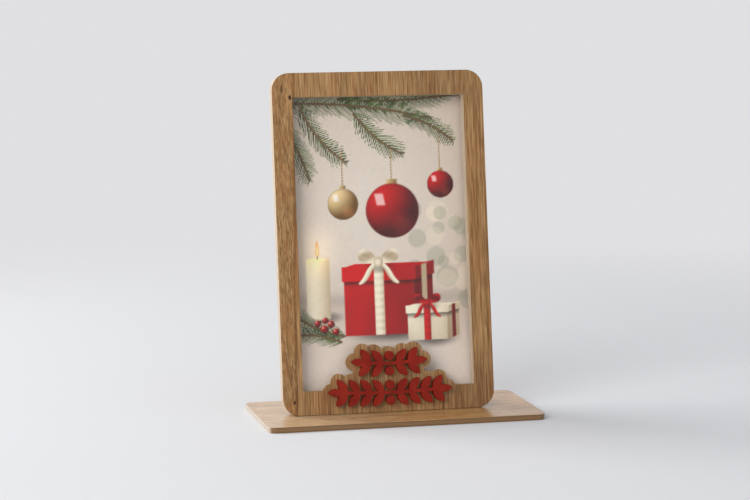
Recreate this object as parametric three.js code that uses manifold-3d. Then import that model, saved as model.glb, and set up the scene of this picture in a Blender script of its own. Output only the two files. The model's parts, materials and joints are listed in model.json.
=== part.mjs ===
// A laser-cut photo frame: a wooden frame that leans back in a slotted base, a pocket behind its
// window for a print, and a badge of two leaf garlands at its foot.
// Millimetres, +Z up, +Y to the back, the origin under the middle of the base.
import * as THREE from "three";
import { mergeVertices } from "three/addons/utils/BufferGeometryUtils.js";
import Module from "manifold-3d";

const wasm = await Module();
wasm.setup();

// The sheets that the pieces are cut from
const SHEET = 3;
const TRIM_SHEET = 3;
const COVER_SHEET = 2;
const PRINT_PAPER = 0.3;
const CARD_SHEET = 0.5;

// The print, and how far the frame laps over its edges
const PRINT_WIDTH = 102;
const PRINT_HEIGHT = 152;
const SIDE_LAP = 6;
const END_LAP = 1;

// The frame around the window
const STILE = 10.5;
const RAIL = 12.5;
const FRAME_CORNER = 9;
const WINDOW_CORNER = 0.8;
const LEAN = THREE.MathUtils.degToRad(8);

// Where the frame stands on the base: its middle, and the foot of its front face
const FRAME_X = -4;
const FRAME_Y = -9.7;

// The base
const BASE_LENGTH = 144;
const BASE_DEPTH = 71;
const BASE_CORNER = 4.5;

// The tabs under the frame
const TAB_WIDTH = 20;
const TAB_SPACING = 56;

// The two braces behind the frame
const BRACE_SPACING = 60;
const BRACE_HEIGHT = 56;
const BRACE_REACH = 29;
const BRACE_TOE = 4;
const BRACE_TAB = 14;
const BRACE_TAB_SETBACK = 8;

// The pocket's back
const BACK_INSET = 1.2;
const THUMB_NOTCH = 15;

// The badge: two rows of leaves on a stem, on a scalloped ground that rises from the lower rail
const BADGE_BORDER = 2.4;
const LOWER_ROW_DROP = 2.3;
const ROW_SPACING = 14.9;
const LOWER_STATIONS = 4;
const UPPER_STATIONS = 2;
const FIRST_STATION = 3.6;
const STATION_PITCH = 6.3;
const END_LEAF_STEP = 3.4;
const END_LEAF_ROOT = 2;
const ROW_RISE = 0.8;
const STEM_WIDTH = 1.8;
const LEAF_LENGTH = 8.7;
const LEAF_WIDTH = 4.1;
const LEAF_SHOULDER = 2.2;
const LEAF_TAPER = 2.6;
const LEAF_TURN = THREE.MathUtils.degToRad(52);
const BERRY_RADIUS = 2.4;
const BERRY_OFFSET = 3.9;

// Clearances
const GLUE_LINE = 0.1;
const SLIP = 0.1;
const POCKET_CLEARANCE = 0.4;
const REST_GAP = 0.3;
const FOOT_GAP = 0.2;
const SLOT_CLEARANCE = 0.2;
const FLOOR_GAP = 0.3;

// How finely a quarter turn, a leaf's side and a full round are stepped
const CORNER_STEPS = 10;
const LEAF_STEPS = 10;
const ROUND_STEPS = 28;

// Sizes that follow from the ones above
const windowWidth = PRINT_WIDTH - 2 * SIDE_LAP;
const windowHeight = PRINT_HEIGHT - 2 * END_LAP;
const frameWidth = windowWidth + 2 * STILE;
const frameHeight = windowHeight + 2 * RAIL;

// Each layer's front, measured from the front face of the frame towards the back
const innerFront = SHEET + GLUE_LINE;
const pocketFront = innerFront + SHEET;
const coverFront = pocketFront + SLIP;
const printFront = coverFront + COVER_SHEET + SLIP;
const cardFront = printFront + PRINT_PAPER + SLIP;
const pocketBack = cardFront + CARD_SHEET + SLIP;
const spacerFront = pocketFront + GLUE_LINE;
const spacerSheet = pocketBack - pocketFront - 2 * GLUE_LINE;
const frameBack = pocketBack + SHEET;
const trimFront = -GLUE_LINE - TRIM_SHEET;

// How high up the leaning frame a foot has to start, to clear the base at the given depth
function footHeight(depth) {
  return depth * Math.tan(LEAN) + FOOT_GAP / Math.cos(LEAN);
}

// Where a plane that lies this deep in the leaning frame crosses a given height, along Y
function leaningY(depth, height) {
  return FRAME_Y + depth / Math.cos(LEAN) + (height - SHEET) * Math.tan(LEAN);
}

const printFoot = RAIL - END_LAP;
const ledge = printFoot - REST_GAP;
const pocketHalfWidth = PRINT_WIDTH / 2 + POCKET_CLEARANCE;
const backHalfWidth = frameWidth / 2 - BACK_INSET;
const backTop = frameHeight - BACK_INSET;

function material(name, color, roughness, options = {}) {
  return new THREE.MeshStandardMaterial({ name, color, roughness, metalness: 0, ...options });
}

const frameWood = material("frame_wood", 0x96744f, 0.55);
const baseWood = material("base_wood", 0xb0906a, 0.55);
const backWood = material("back_wood", 0xa58560, 0.7);
const redTrim = material("red_trim", 0x9b2022, 0.4);
const clearSheet = material("clear_sheet", 0xf4f7f8, 0.05, { transparent: true, opacity: 0.2 });
const paper = material("paper", 0xb9a799, 0.6);
const greyCard = material("grey_card", 0x8d8a84, 0.9);

function solidOf(geometry) {
  const bare = geometry.clone();
  bare.deleteAttribute("normal");
  bare.deleteAttribute("uv");
  const merged = mergeVertices(bare, 1e-5);
  return new wasm.Manifold(
    new wasm.Mesh({
      numProp: 3,
      vertProperties: new Float32Array(merged.attributes.position.array),
      triVerts: new Uint32Array(merged.index.array),
    }),
  );
}

function geometryOf(solid) {
  const mesh = solid.getMesh();
  const geometry = new THREE.BufferGeometry();
  geometry.setAttribute("position", new THREE.BufferAttribute(mesh.vertProperties, 3));
  geometry.setIndex(new THREE.BufferAttribute(mesh.triVerts, 1));
  const flat = geometry.toNonIndexed();
  flat.computeVertexNormals();
  return flat;
}

// Goes round a corner that is centred on (x, y), a quarter turn from the given quarter on
function roundCorner(path, x, y, radius, quarter) {
  path.absarc(x, y, radius, (quarter * Math.PI) / 2, ((quarter + 1) * Math.PI) / 2);
}

function rectangle(path, left, right, bottom, top, corner) {
  roundCorner(path, right - corner, bottom + corner, corner, -1);
  roundCorner(path, right - corner, top - corner, corner, 0);
  roundCorner(path, left + corner, top - corner, corner, 1);
  roundCorner(path, left + corner, bottom + corner, corner, 2);
  path.closePath();
  return path;
}

// A block that cuts a slot right through the base
function slotCutter(left, right, front, back) {
  const block = new THREE.BoxGeometry(right - left, back - front, 2 * SHEET);
  block.translate((left + right) / 2, (front + back) / 2, SHEET / 2);
  return solidOf(block);
}

function cutSheet(shape, thickness, steps = CORNER_STEPS) {
  return new THREE.ExtrudeGeometry(shape, { depth: thickness, bevelEnabled: false, curveSegments: steps });
}

// Stands a flat-cut piece up in the leaning frame, with its front face at the given depth
function standUp(geometry, front, thickness) {
  geometry.rotateX(Math.PI / 2);
  geometry.translate(0, front + thickness, 0);
  return geometry;
}

function piece(name, geometry, finish) {
  const mesh = new THREE.Mesh(geometry, finish);
  mesh.name = name;
  return mesh;
}

function windowHole() {
  const half = windowWidth / 2;
  return rectangle(new THREE.Path(), -half, half, RAIL, RAIL + windowHeight, WINDOW_CORNER);
}

// A block that cuts the front layer's foot level with the base, turned about the foot of its face
function footCutter() {
  const block = new THREE.BoxGeometry(frameWidth, 2 * SHEET, 4 * SHEET);
  block.translate(0, -SHEET, 0);
  block.rotateX(LEAN);
  block.translate(0, footHeight(0), SHEET);
  return solidOf(block);
}

// The front layer: the frame around the window and the badge's ground, cut from one sheet
function frontFrame() {
  const half = frameWidth / 2;
  const shape = rectangle(new THREE.Shape(), -half, half, footHeight(0), frameHeight, FRAME_CORNER);
  shape.holes.push(scallopedWindow());
  const sheet = solidOf(cutSheet(shape, SHEET)).subtract(footCutter());
  return piece("front_frame", standUp(geometryOf(sheet), 0, SHEET), frameWood);
}

// The second layer, whose two tabs go down through the base
function innerFrame() {
  const half = frameWidth / 2;
  const foot = footHeight(pocketFront);
  const tabFoot = (FLOOR_GAP - SHEET + pocketFront * Math.sin(LEAN)) / Math.cos(LEAN);
  const shape = new THREE.Shape();
  roundCorner(shape, -half + FRAME_CORNER, foot + FRAME_CORNER, FRAME_CORNER, 2);
  for (const side of [-1, 1]) {
    const middle = (side * TAB_SPACING) / 2;
    shape.lineTo(middle - TAB_WIDTH / 2, foot);
    shape.lineTo(middle - TAB_WIDTH / 2, tabFoot);
    shape.lineTo(middle + TAB_WIDTH / 2, tabFoot);
    shape.lineTo(middle + TAB_WIDTH / 2, foot);
  }
  roundCorner(shape, half - FRAME_CORNER, foot + FRAME_CORNER, FRAME_CORNER, -1);
  roundCorner(shape, half - FRAME_CORNER, frameHeight - FRAME_CORNER, FRAME_CORNER, 0);
  roundCorner(shape, -half + FRAME_CORNER, frameHeight - FRAME_CORNER, FRAME_CORNER, 1);
  shape.closePath();
  shape.holes.push(windowHole());
  return piece("inner_frame", standUp(cutSheet(shape, SHEET), innerFront, SHEET), frameWood);
}

// The strips beside and under the print, which leave the pocket open at the top
function spacers() {
  const corner = FRAME_CORNER - BACK_INSET;
  const stripFoot = ledge + GLUE_LINE;
  const strips = [];
  for (const [name, side] of [["spacer_left", -1], ["spacer_right", 1]]) {
    const shape = new THREE.Shape();
    const inner = side * pocketHalfWidth;
    const outer = side * backHalfWidth;
    shape.moveTo(inner, stripFoot);
    shape.lineTo(outer, stripFoot);
    shape.lineTo(outer, backTop - corner);
    shape.lineTo(inner, backTop - corner);
    shape.closePath();
    strips.push(piece(name, standUp(cutSheet(shape, spacerSheet), spacerFront, spacerSheet), backWood));
  }
  const half = backHalfWidth - corner;
  const low = new THREE.Shape();
  const foot = footHeight(spacerFront + spacerSheet);
  low.moveTo(-half, foot);
  low.lineTo(half, foot);
  low.lineTo(backHalfWidth, foot + corner);
  low.lineTo(backHalfWidth, ledge);
  low.lineTo(-backHalfWidth, ledge);
  low.lineTo(-backHalfWidth, foot + corner);
  low.closePath();
  const lowStrip = standUp(cutSheet(low, spacerSheet), spacerFront, spacerSheet);
  strips.push(piece("spacer_bottom", lowStrip, backWood));
  return strips;
}

// The back of the pocket, with a notch where a thumb pushes the print up
function backPanel() {
  const corner = FRAME_CORNER - BACK_INSET;
  const foot = footHeight(frameBack);
  const half = backHalfWidth;
  const shape = new THREE.Shape();
  roundCorner(shape, half - corner, foot + corner, corner, -1);
  roundCorner(shape, half - corner, backTop - corner, corner, 0);
  shape.absarc(0, backTop, THUMB_NOTCH, 0, -Math.PI, true);
  roundCorner(shape, -half + corner, backTop - corner, corner, 1);
  roundCorner(shape, -half + corner, foot + corner, corner, 2);
  shape.closePath();
  const board = cutSheet(shape, SHEET, 2 * CORNER_STEPS);
  return piece("back_panel", standUp(board, pocketBack, SHEET), backWood);
}

// The clear cover, the print and its card, one behind the other in the pocket
function pocketSheets() {
  const layers = [
    ["clear_cover", coverFront, COVER_SHEET, clearSheet],
    ["photo_print", printFront, PRINT_PAPER, paper],
    ["backing_card", cardFront, CARD_SHEET, greyCard],
  ];
  return layers.map(([name, front, thickness, finish]) => {
    const geometry = new THREE.BoxGeometry(PRINT_WIDTH, thickness, PRINT_HEIGHT);
    geometry.translate(0, front + thickness / 2, printFoot + PRINT_HEIGHT / 2);
    return piece(name, geometry, finish);
  });
}

// One row of the badge: the leaves on the right half of its stem, and which way each one points
function garlandRow(name, height, stations) {
  const places = Array.from({ length: stations }, (_, station) => FIRST_STATION + station * STATION_PITCH);
  const halfStem = places.at(-1) + END_LEAF_STEP;
  const leafAt = (x, turn) => {
    const slope = Math.atan((2 * ROW_RISE * x) / halfStem ** 2);
    return { x, y: height + ROW_RISE * (x / halfStem) ** 2, angle: slope + turn };
  };
  const upper = places.map((x) => leafAt(x, LEAF_TURN));
  const lower = places.map((x) => leafAt(x, -LEAF_TURN));
  const end = leafAt(halfStem - END_LEAF_ROOT, 0);
  return { name, height, halfStem, upper, lower, end };
}

const lowerRow = garlandRow("lower_garland", RAIL - LOWER_ROW_DROP, LOWER_STATIONS);
const upperRow = garlandRow("upper_garland", lowerRow.height + ROW_SPACING, UPPER_STATIONS);
const rows = [lowerRow, upperRow];
const berryPlaces = rows.flatMap((row) => [row.height - BERRY_OFFSET, row.height + BERRY_OFFSET]);

// The lobes of the badge's ground from left to right: one around each outer leaf's tip and the top berry
function groundLobes() {
  const lowLeaves = [lowerRow.end, ...lowerRow.upper.slice(UPPER_STATIONS).reverse()];
  const highLeaves = [upperRow.lower.at(-1), upperRow.end, ...upperRow.upper.toReversed()];
  const reach = LEAF_LENGTH - LEAF_WIDTH / 2;
  const radius = LEAF_WIDTH / 2 + BADGE_BORDER;
  const right = [...lowLeaves, ...highLeaves].map(({ x, y, angle }) => {
    return { x: x + reach * Math.cos(angle), y: y + reach * Math.sin(angle), radius };
  });
  const left = right.map((lobe) => ({ ...lobe, x: -lobe.x }));
  const top = { x: 0, y: berryPlaces.at(-1), radius: BERRY_RADIUS + BADGE_BORDER };
  return [...left, top, ...right.reverse()];
}

// Where two neighbouring lobes cross, on the left of the way from the first to the second
function crossing(first, second) {
  const apart = Math.hypot(second.x - first.x, second.y - first.y);
  const along = (apart ** 2 + first.radius ** 2 - second.radius ** 2) / (2 * apart);
  const heading = Math.atan2(second.y - first.y, second.x - first.x);
  const bearing = heading + Math.acos(along / first.radius);
  return new THREE.Vector2(first.radius, 0).rotateAround(new THREE.Vector2(), bearing).add(first);
}

// The front layer's window: the badge's ground rises into it from the lower rail
function scallopedWindow() {
  const half = windowWidth / 2;
  const lobes = groundLobes();
  const foot = Math.sqrt(lobes[0].radius ** 2 - (RAIL - lobes[0].y) ** 2);
  const cusps = lobes.slice(1).map((lobe, index) => crossing(lobes[index], lobe));
  cusps.unshift({ x: lobes[0].x - foot, y: RAIL });
  cusps.push({ x: lobes.at(-1).x + foot, y: RAIL });
  const path = new THREE.Path();
  roundCorner(path, -half + WINDOW_CORNER, RAIL + WINDOW_CORNER, WINDOW_CORNER, 2);
  lobes.forEach(({ x, y, radius }, index) => {
    const bearing = (cusp) => Math.atan2(cusp.y - y, cusp.x - x);
    path.absarc(x, y, radius, bearing(cusps[index]), bearing(cusps[index + 1]), true);
  });
  roundCorner(path, half - WINDOW_CORNER, RAIL + WINDOW_CORNER, WINDOW_CORNER, -1);
  roundCorner(path, half - WINDOW_CORNER, RAIL + windowHeight - WINDOW_CORNER, WINDOW_CORNER, 0);
  roundCorner(path, -half + WINDOW_CORNER, RAIL + windowHeight - WINDOW_CORNER, WINDOW_CORNER, 1);
  path.closePath();
  return path;
}

function leafShape() {
  // A cubic curve bulges three quarters of the way to its two control points.
  const bulge = LEAF_WIDTH / 2 / 0.75;
  const far = LEAF_LENGTH - LEAF_TAPER;
  const shape = new THREE.Shape();
  shape.moveTo(0, 0);
  shape.bezierCurveTo(LEAF_SHOULDER, -bulge, far, -bulge, LEAF_LENGTH, 0);
  shape.bezierCurveTo(far, bulge, LEAF_SHOULDER, bulge, 0, 0);
  return shape;
}

function stemShape(row, halfWidth) {
  const low = row.height + ROW_RISE - halfWidth;
  const high = row.height + ROW_RISE + halfWidth;
  const dip = 2 * ROW_RISE;
  const shape = new THREE.Shape();
  shape.moveTo(-row.halfStem, low);
  shape.quadraticCurveTo(0, low - dip, row.halfStem, low);
  shape.lineTo(row.halfStem, high);
  shape.quadraticCurveTo(0, high - dip, -row.halfStem, high);
  shape.closePath();
  return shape;
}

function mirrored({ x, y, angle }) {
  return { x: -x, y, angle: Math.PI - angle };
}

function placed(geometry, { x, y, angle }) {
  geometry.rotateZ(angle);
  geometry.translate(x, y, 0);
  return geometry;
}

function joined(solids) {
  return solids.reduce((whole, next) => whole.add(next));
}

// A garland: its stem and leaves, cut as one piece
function garland(row) {
  const stem = solidOf(cutSheet(stemShape(row, STEM_WIDTH / 2), TRIM_SHEET));
  const leaves = [...row.upper, ...row.lower, row.end].flatMap((leaf) => [leaf, mirrored(leaf)]);
  const blades = leaves.map((leaf) => solidOf(placed(cutSheet(leafShape(), TRIM_SHEET, LEAF_STEPS), leaf)));
  const geometry = geometryOf(joined([stem, ...blades]));
  return piece(row.name, standUp(geometry, trimFront, TRIM_SHEET), redTrim);
}

function berries() {
  return berryPlaces.map((height, index) => {
    const shape = new THREE.Shape();
    shape.absarc(0, height, BERRY_RADIUS, 0, 2 * Math.PI);
    const geometry = standUp(cutSheet(shape, TRIM_SHEET, ROUND_STEPS), trimFront, TRIM_SHEET);
    return piece(`berry_${index + 1}`, geometry, redTrim);
  });
}

// The slots that the frame's tabs go through: a leaning tab needs more room than its thickness
function tabSlots() {
  const front = leaningY(innerFront, 0) - SLOT_CLEARANCE;
  const back = leaningY(pocketFront, SHEET) + SLOT_CLEARANCE;
  const half = TAB_WIDTH / 2 + SLOT_CLEARANCE;
  return [-1, 1].map((side) => {
    const middle = FRAME_X + (side * TAB_SPACING) / 2;
    return slotCutter(middle - half, middle + half, front, back);
  });
}

const braceFront = leaningY(frameBack + REST_GAP, SHEET + GLUE_LINE);
const braceTabFront = braceFront + BRACE_TAB_SETBACK;
const braceMiddles = [-1, 1].map((side) => FRAME_X + (side * BRACE_SPACING) / 2);

function braceSlots() {
  const half = SHEET / 2 + SLOT_CLEARANCE;
  const front = braceTabFront - SLOT_CLEARANCE;
  const back = braceTabFront + BRACE_TAB + SLOT_CLEARANCE;
  return braceMiddles.map((middle) => slotCutter(middle - half, middle + half, front, back));
}

function baseBoard() {
  const half = BASE_LENGTH / 2;
  const shape = rectangle(new THREE.Shape(), -half, half, -BASE_DEPTH / 2, BASE_DEPTH / 2, BASE_CORNER);
  const board = solidOf(cutSheet(shape, SHEET)).subtract(joined([...tabSlots(), ...braceSlots()]));
  return piece("base_board", geometryOf(board), baseWood);
}

// A curved brace that the frame leans against, tabbed into the base
function brace(name, middle) {
  const foot = SHEET + GLUE_LINE;
  const top = foot + BRACE_HEIGHT;
  const topFront = leaningY(frameBack + REST_GAP, top);
  const heel = braceFront + BRACE_REACH;
  const shape = new THREE.Shape();
  shape.moveTo(braceFront, foot);
  shape.lineTo(braceTabFront, foot);
  shape.lineTo(braceTabFront, FLOOR_GAP);
  shape.lineTo(braceTabFront + BRACE_TAB, FLOOR_GAP);
  shape.lineTo(braceTabFront + BRACE_TAB, foot);
  shape.lineTo(heel, foot);
  shape.lineTo(heel, foot + BRACE_TOE);
  shape.quadraticCurveTo(topFront + BRACE_TOE, foot + BRACE_TOE, topFront + BRACE_TOE, top);
  shape.lineTo(topFront, top);
  shape.closePath();
  const geometry = cutSheet(shape, SHEET, 2 * CORNER_STEPS);
  geometry.rotateX(Math.PI / 2);
  geometry.rotateZ(Math.PI / 2);
  geometry.translate(middle - SHEET / 2, 0, 0);
  return piece(name, geometry, backWood);
}

const leaningFrame = new THREE.Group();
leaningFrame.position.set(FRAME_X, FRAME_Y, SHEET);
leaningFrame.rotation.x = -LEAN;
leaningFrame.add(frontFrame(), innerFrame(), ...spacers(), backPanel(), ...pocketSheets());
leaningFrame.add(...rows.map(garland), ...berries());

const photoFrame = new THREE.Group();
photoFrame.add(baseBoard(), leaningFrame);
photoFrame.add(brace("brace_left", braceMiddles[0]), brace("brace_right", braceMiddles[1]));

export default photoFrame;
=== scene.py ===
"""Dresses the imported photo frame: veneered sheets, a printed picture under a clear cover, red trim.

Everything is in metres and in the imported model's own frame: +Z up, +Y to the back.
"""

import json
import logging
import math
from dataclasses import dataclass, field
from enum import Enum

import bpy
import numpy as np
from mathutils import Matrix, Vector


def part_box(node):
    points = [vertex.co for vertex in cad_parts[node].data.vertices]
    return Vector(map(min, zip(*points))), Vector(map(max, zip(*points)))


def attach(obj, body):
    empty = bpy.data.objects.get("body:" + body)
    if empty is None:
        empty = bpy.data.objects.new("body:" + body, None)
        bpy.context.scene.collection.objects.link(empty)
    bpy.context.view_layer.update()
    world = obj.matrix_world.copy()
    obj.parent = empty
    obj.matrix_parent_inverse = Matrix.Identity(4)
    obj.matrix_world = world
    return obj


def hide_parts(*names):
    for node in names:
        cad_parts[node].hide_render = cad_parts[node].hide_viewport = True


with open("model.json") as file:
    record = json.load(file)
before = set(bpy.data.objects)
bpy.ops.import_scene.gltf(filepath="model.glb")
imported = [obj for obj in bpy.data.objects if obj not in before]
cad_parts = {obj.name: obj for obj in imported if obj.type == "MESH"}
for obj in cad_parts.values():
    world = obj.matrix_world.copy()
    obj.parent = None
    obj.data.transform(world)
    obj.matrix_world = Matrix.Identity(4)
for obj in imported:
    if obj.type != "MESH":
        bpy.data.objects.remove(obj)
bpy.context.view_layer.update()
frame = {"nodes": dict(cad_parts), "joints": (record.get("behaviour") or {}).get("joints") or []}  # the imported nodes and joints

log = logging.getLogger("photo_frame")

Array = np.ndarray
Socket = bpy.types.NodeSocket
Feed = Socket | float | tuple[float, ...]
Colour = tuple[float, float, float]

# What a node's inputs get, by name or number: a socket to link, or a plain value
Inputs = dict[str | int, Feed]

# A dark and a light colour
Tones = tuple[Colour, Colour]

# Where a smooth step begins, and where it is done
Span = tuple[float, float]

# A noise's lumps per metre: across, through and along a sheet, or the same all ways
Lumps = tuple[float, float, float] | float

# The screen's curve: a straight toe up to its end, and a power above it
TOE_END = 0.04045
TOE_SLOPE = 12.92
CURVE_OFFSET = 0.055
CURVE_POWER = 2.4

# The numbers of a Mix node's two colour inputs, and of its colour output
MIX_FIRST = 6
MIX_SECOND = 7
MIX_RESULT = 2

# The grain's noises
DRIFT_LUMPS = (24.0, 24.0, 9.0)
BAND_LUMPS = (90.0, 90.0, 4.0)
LINE_LUMPS = (1600.0, 1600.0, 18.0)
STREAK_LUMPS = (2300.0, 2300.0, 80.0)
PORE_LUMPS = (1700.0, 1700.0, 110.0)
BLUSH_LUMPS = (330.0, 330.0, 26.0)

# How much the bands, lines and streaks count in the grain's tone, and the streaks in its relief
BAND_WEIGHT = 0.35
LINE_WEIGHT = 0.55
STREAK_WEIGHT = 0.8
STREAK_RELIEF = 0.5

# Where the pores and the redder patches set in, in their own noises
PORE_SPAN = (0.6, 0.72)
BLUSH_SPAN = (0.42, 0.66)

# A knot's ragged rim, and where its spot fades out, in shares of its half size
RAGGED_LUMPS = (900.0, 900.0, 400.0)
RAGGED_RIM = 0.6
SPOT_SPAN = (0.4, 1.0)

# How a normal tells a face from a wall and an end, and where the wall's dark ply ends
END_SPAN = (0.6, 0.9)
WALL_SPAN = (0.1, 0.4)
FACE_SPAN = (0.85, 0.99)
PLY_SPAN = (0.2, 0.26)

# Where nearly all and where most of a noise's values lie
WIDE_SPAN = (0.2, 0.8)
MIDDLE_SPAN = (0.3, 0.7)

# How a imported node's edges are eased
WELD_REACH = 2e-6
FLAT_ANGLE = 0.01
EASE_STEPS = 2
SHARP_ANGLE = math.radians(40)

# How many numbers a lattice has each way, and how many a twig draws for its needles
LATTICE = 64
NEEDLE_DRAWS = 256


def linear(colour: Colour) -> tuple[float, float, float, float]:
    """Turns a screen colour from 0 to 255 into linear light values, with an alpha of 1."""
    values = screen_to_light(np.array(colour, float) / 255)
    return float(values[0]), float(values[1]), float(values[2]), 1.0


def screen_to_light(values: Array) -> Array:
    """Undoes the screen's curve, a straight toe with a power above it, for values from 0 to 1."""
    curve = ((values + CURVE_OFFSET) / (1 + CURVE_OFFSET)) ** CURVE_POWER
    return np.where(values <= TOE_END, values / TOE_SLOPE, curve)


class Graph:
    """A node tree, with a short call for each kind of node that the finishes use."""

    def __init__(self, tree: bpy.types.NodeTree) -> None:
        """Holds the tree that the calls add to."""
        self.tree = tree

    def add(self, kind: str, inputs: Inputs | None = None, **settings: object) -> bpy.types.Node:
        """Adds one node.

        Args:
            kind: The node's type name.
            inputs: What its inputs get.
            settings: Properties to set on the node.

        Returns:
            The new node.
        """
        node = self.tree.nodes.new(kind)
        for name, value in settings.items():
            setattr(node, name, value)
        self.feed(node, inputs or {})
        return node

    def feed(self, node: bpy.types.Node, inputs: Inputs) -> None:
        """Feeds a node's inputs: a socket is linked, and a plain value is written on the input.

        Args:
            node: The node.
            inputs: What its inputs get.
        """
        for name, value in inputs.items():
            if isinstance(value, bpy.types.NodeSocket):
                self.tree.links.new(value, node.inputs[name])
            else:
                node.inputs[name].default_value = value

    def place(self) -> Socket:
        """Adds the Object coordinates, and gives their socket."""
        return self.add("ShaderNodeTexCoord").outputs["Object"]

    def math(self, operation: str, first: Feed, second: Feed = 0.0, third: Feed = 0.0) -> Socket:
        """Adds a Math node with as many numbers as its operation takes, and gives the result."""
        inputs = {0: first, 1: second, 2: third}
        return self.add("ShaderNodeMath", inputs, operation=operation).outputs[0]

    def split(self, vector: Feed) -> tuple[Socket, Socket, Socket]:
        """Takes a vector apart, and gives the sockets of its three parts."""
        return tuple(self.add("ShaderNodeSeparateXYZ", {0: vector}).outputs)

    def join(self, x: Feed, y: Feed, z: Feed) -> Socket:
        """Puts three numbers together, and gives the vector's socket."""
        return self.add("ShaderNodeCombineXYZ", {0: x, 1: y, 2: z}).outputs[0]

    def noise(self, place: Feed, lumps: Lumps, detail: float = 2.0, roughness: float = 0.5) -> Socket:
        """Adds a noise.

        Args:
            place: The place in metres.
            lumps: How many lumps it has per metre.
            detail: How many finer layers are added.
            roughness: How strong each finer layer is.

        Returns:
            The noise's value socket, from 0 to 1 around 0.5.
        """
        counts = lumps if isinstance(lumps, tuple) else (lumps, lumps, lumps)
        counted = self.add("ShaderNodeVectorMath", {0: place, 1: counts}, operation="MULTIPLY")
        inputs = {"Vector": counted.outputs[0], "Scale": 1.0, "Detail": detail, "Roughness": roughness}
        return self.add("ShaderNodeTexNoise", inputs).outputs[0]

    def step(self, value: Feed, low: Feed, high: Feed, start: float = 0.0, end: float = 1.0) -> Socket:
        """Goes smoothly from start to end while a value goes from low to high, and gives the result."""
        inputs = {"Value": value, "From Min": low, "From Max": high, "To Min": start, "To Max": end}
        return self.add("ShaderNodeMapRange", inputs, interpolation_type="SMOOTHSTEP").outputs[0]

    def mix(self, factor: Feed, first: Feed, second: Feed, mode: str = "MIX") -> Socket:
        """Mixes two colours by a share of the second, in a mode such as MULTIPLY, and gives the mix."""
        inputs = {0: factor, MIX_FIRST: first, MIX_SECOND: second}
        return self.add("ShaderNodeMix", inputs, data_type="RGBA", blend_type=mode).outputs[MIX_RESULT]

    def stain(self, colour: Socket, mask: Socket, share: float, stain: Colour) -> Socket:
        """Lays a share of a stain on a colour where a mask says, and gives the stained colour."""
        return self.mix(self.math("MULTIPLY", mask, share), colour, linear(stain))

    def bump(self, height: Feed, strength: float, distance: float) -> Socket:
        """Turns a height into a normal, with a height of 1 as high as the distance in metres."""
        inputs = {"Height": height, "Strength": strength, "Distance": distance}
        return self.add("ShaderNodeBump", inputs).outputs[0]

    def group(self, tree: bpy.types.NodeTree, **inputs: Feed) -> bpy.types.Node:
        """Places a node group with values for its inputs, and gives its node."""
        return self.add("ShaderNodeGroup", inputs, node_tree=tree)

    def blend(self, share: Socket, first: Socket, second: Socket, output: str) -> None:
        """Mixes two shaders by a share of the second, and feeds the mix to the named output node."""
        mixed = self.add("ShaderNodeMixShader", {0: share, 1: first, 2: second}).outputs[0]
        self.feed(self.tree.nodes[output], {"Surface": mixed})


def new_material(name: str) -> tuple[bpy.types.Material, Graph, bpy.types.Node]:
    """Starts a material.

    Args:
        name: The material's name.

    Returns:
        The material, its graph and its Principled shader.
    """
    material = bpy.data.materials.new(name)
    material.use_nodes = True
    graph = Graph(material.node_tree)
    return material, graph, material.node_tree.nodes["Principled BSDF"]


def new_group(
    name: str, inputs: dict[str, str], outputs: dict[str, str]
) -> tuple[Graph, bpy.types.Node, bpy.types.Node]:
    """Starts a shader node group.

    Args:
        name: The group's name.
        inputs: Each input's name and kind, Float or Vector.
        outputs: Each output's name and kind.

    Returns:
        The group's graph, the node that brings its inputs and the node that takes its outputs.
    """
    tree = bpy.data.node_groups.new(name, "ShaderNodeTree")
    for direction, sockets in (("INPUT", inputs), ("OUTPUT", outputs)):
        for label, kind in sockets.items():
            tree.interface.new_socket(name=label, in_out=direction, socket_type=f"NodeSocket{kind}")
    graph = Graph(tree)
    return graph, graph.add("NodeGroupInput"), graph.add("NodeGroupOutput")


def build_grain_group() -> bpy.types.NodeTree:
    """Builds the grain that every wooden sheet shares.

    The place is (across, through, along) the sheet in metres. The across part wanders a little with
    a slow noise, and then three noises that are stretched along the sheet give its broad bands, its
    growth lines and its fine streaks: their weighted sum, moved so that its middle is a half, is the
    tone. A fourth one, cut off high, gives the short dark pores, and a fifth the long patches where
    the wood is redder.

    Returns:
        The group, with the outputs Tone, around a half, Pore and Blush, from 0 to 1, and Height, which
        is at most a half and goes below 0 in the pores.
    """
    graph, start, end = new_group(
        "veneer_grain",
        {"Place": "Vector", "Wander": "Float"},
        {"Tone": "Float", "Pore": "Float", "Blush": "Float", "Height": "Float"},
    )
    taken = start.outputs
    across, through, along = graph.split(taken["Place"])
    drift = graph.noise(taken["Place"], DRIFT_LUMPS, detail=1.0)
    drift = graph.math("MULTIPLY", graph.math("SUBTRACT", drift, 0.5), taken["Wander"])
    place = graph.join(graph.math("ADD", across, drift), through, along)
    bands = graph.noise(place, BAND_LUMPS, detail=1.0)
    lines = graph.noise(place, LINE_LUMPS, detail=1.0, roughness=0.6)
    streaks = graph.noise(place, STREAK_LUMPS, detail=1.0)
    pores = graph.step(graph.noise(place, PORE_LUMPS, detail=0.0), *PORE_SPAN)
    blush = graph.step(graph.noise(place, BLUSH_LUMPS), *BLUSH_SPAN)
    tone = graph.math("MULTIPLY_ADD", bands, BAND_WEIGHT, graph.math("MULTIPLY", lines, LINE_WEIGHT))
    tone = graph.math("MULTIPLY_ADD", streaks, STREAK_WEIGHT, tone)
    tone = graph.math("SUBTRACT", tone, (BAND_WEIGHT + LINE_WEIGHT + STREAK_WEIGHT - 1) / 2)
    height = graph.math("SUBTRACT", graph.math("MULTIPLY", streaks, STREAK_RELIEF), pores)
    graph.feed(end, {"Tone": tone, "Pore": pores, "Blush": blush, "Height": height})
    return graph.tree


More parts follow.
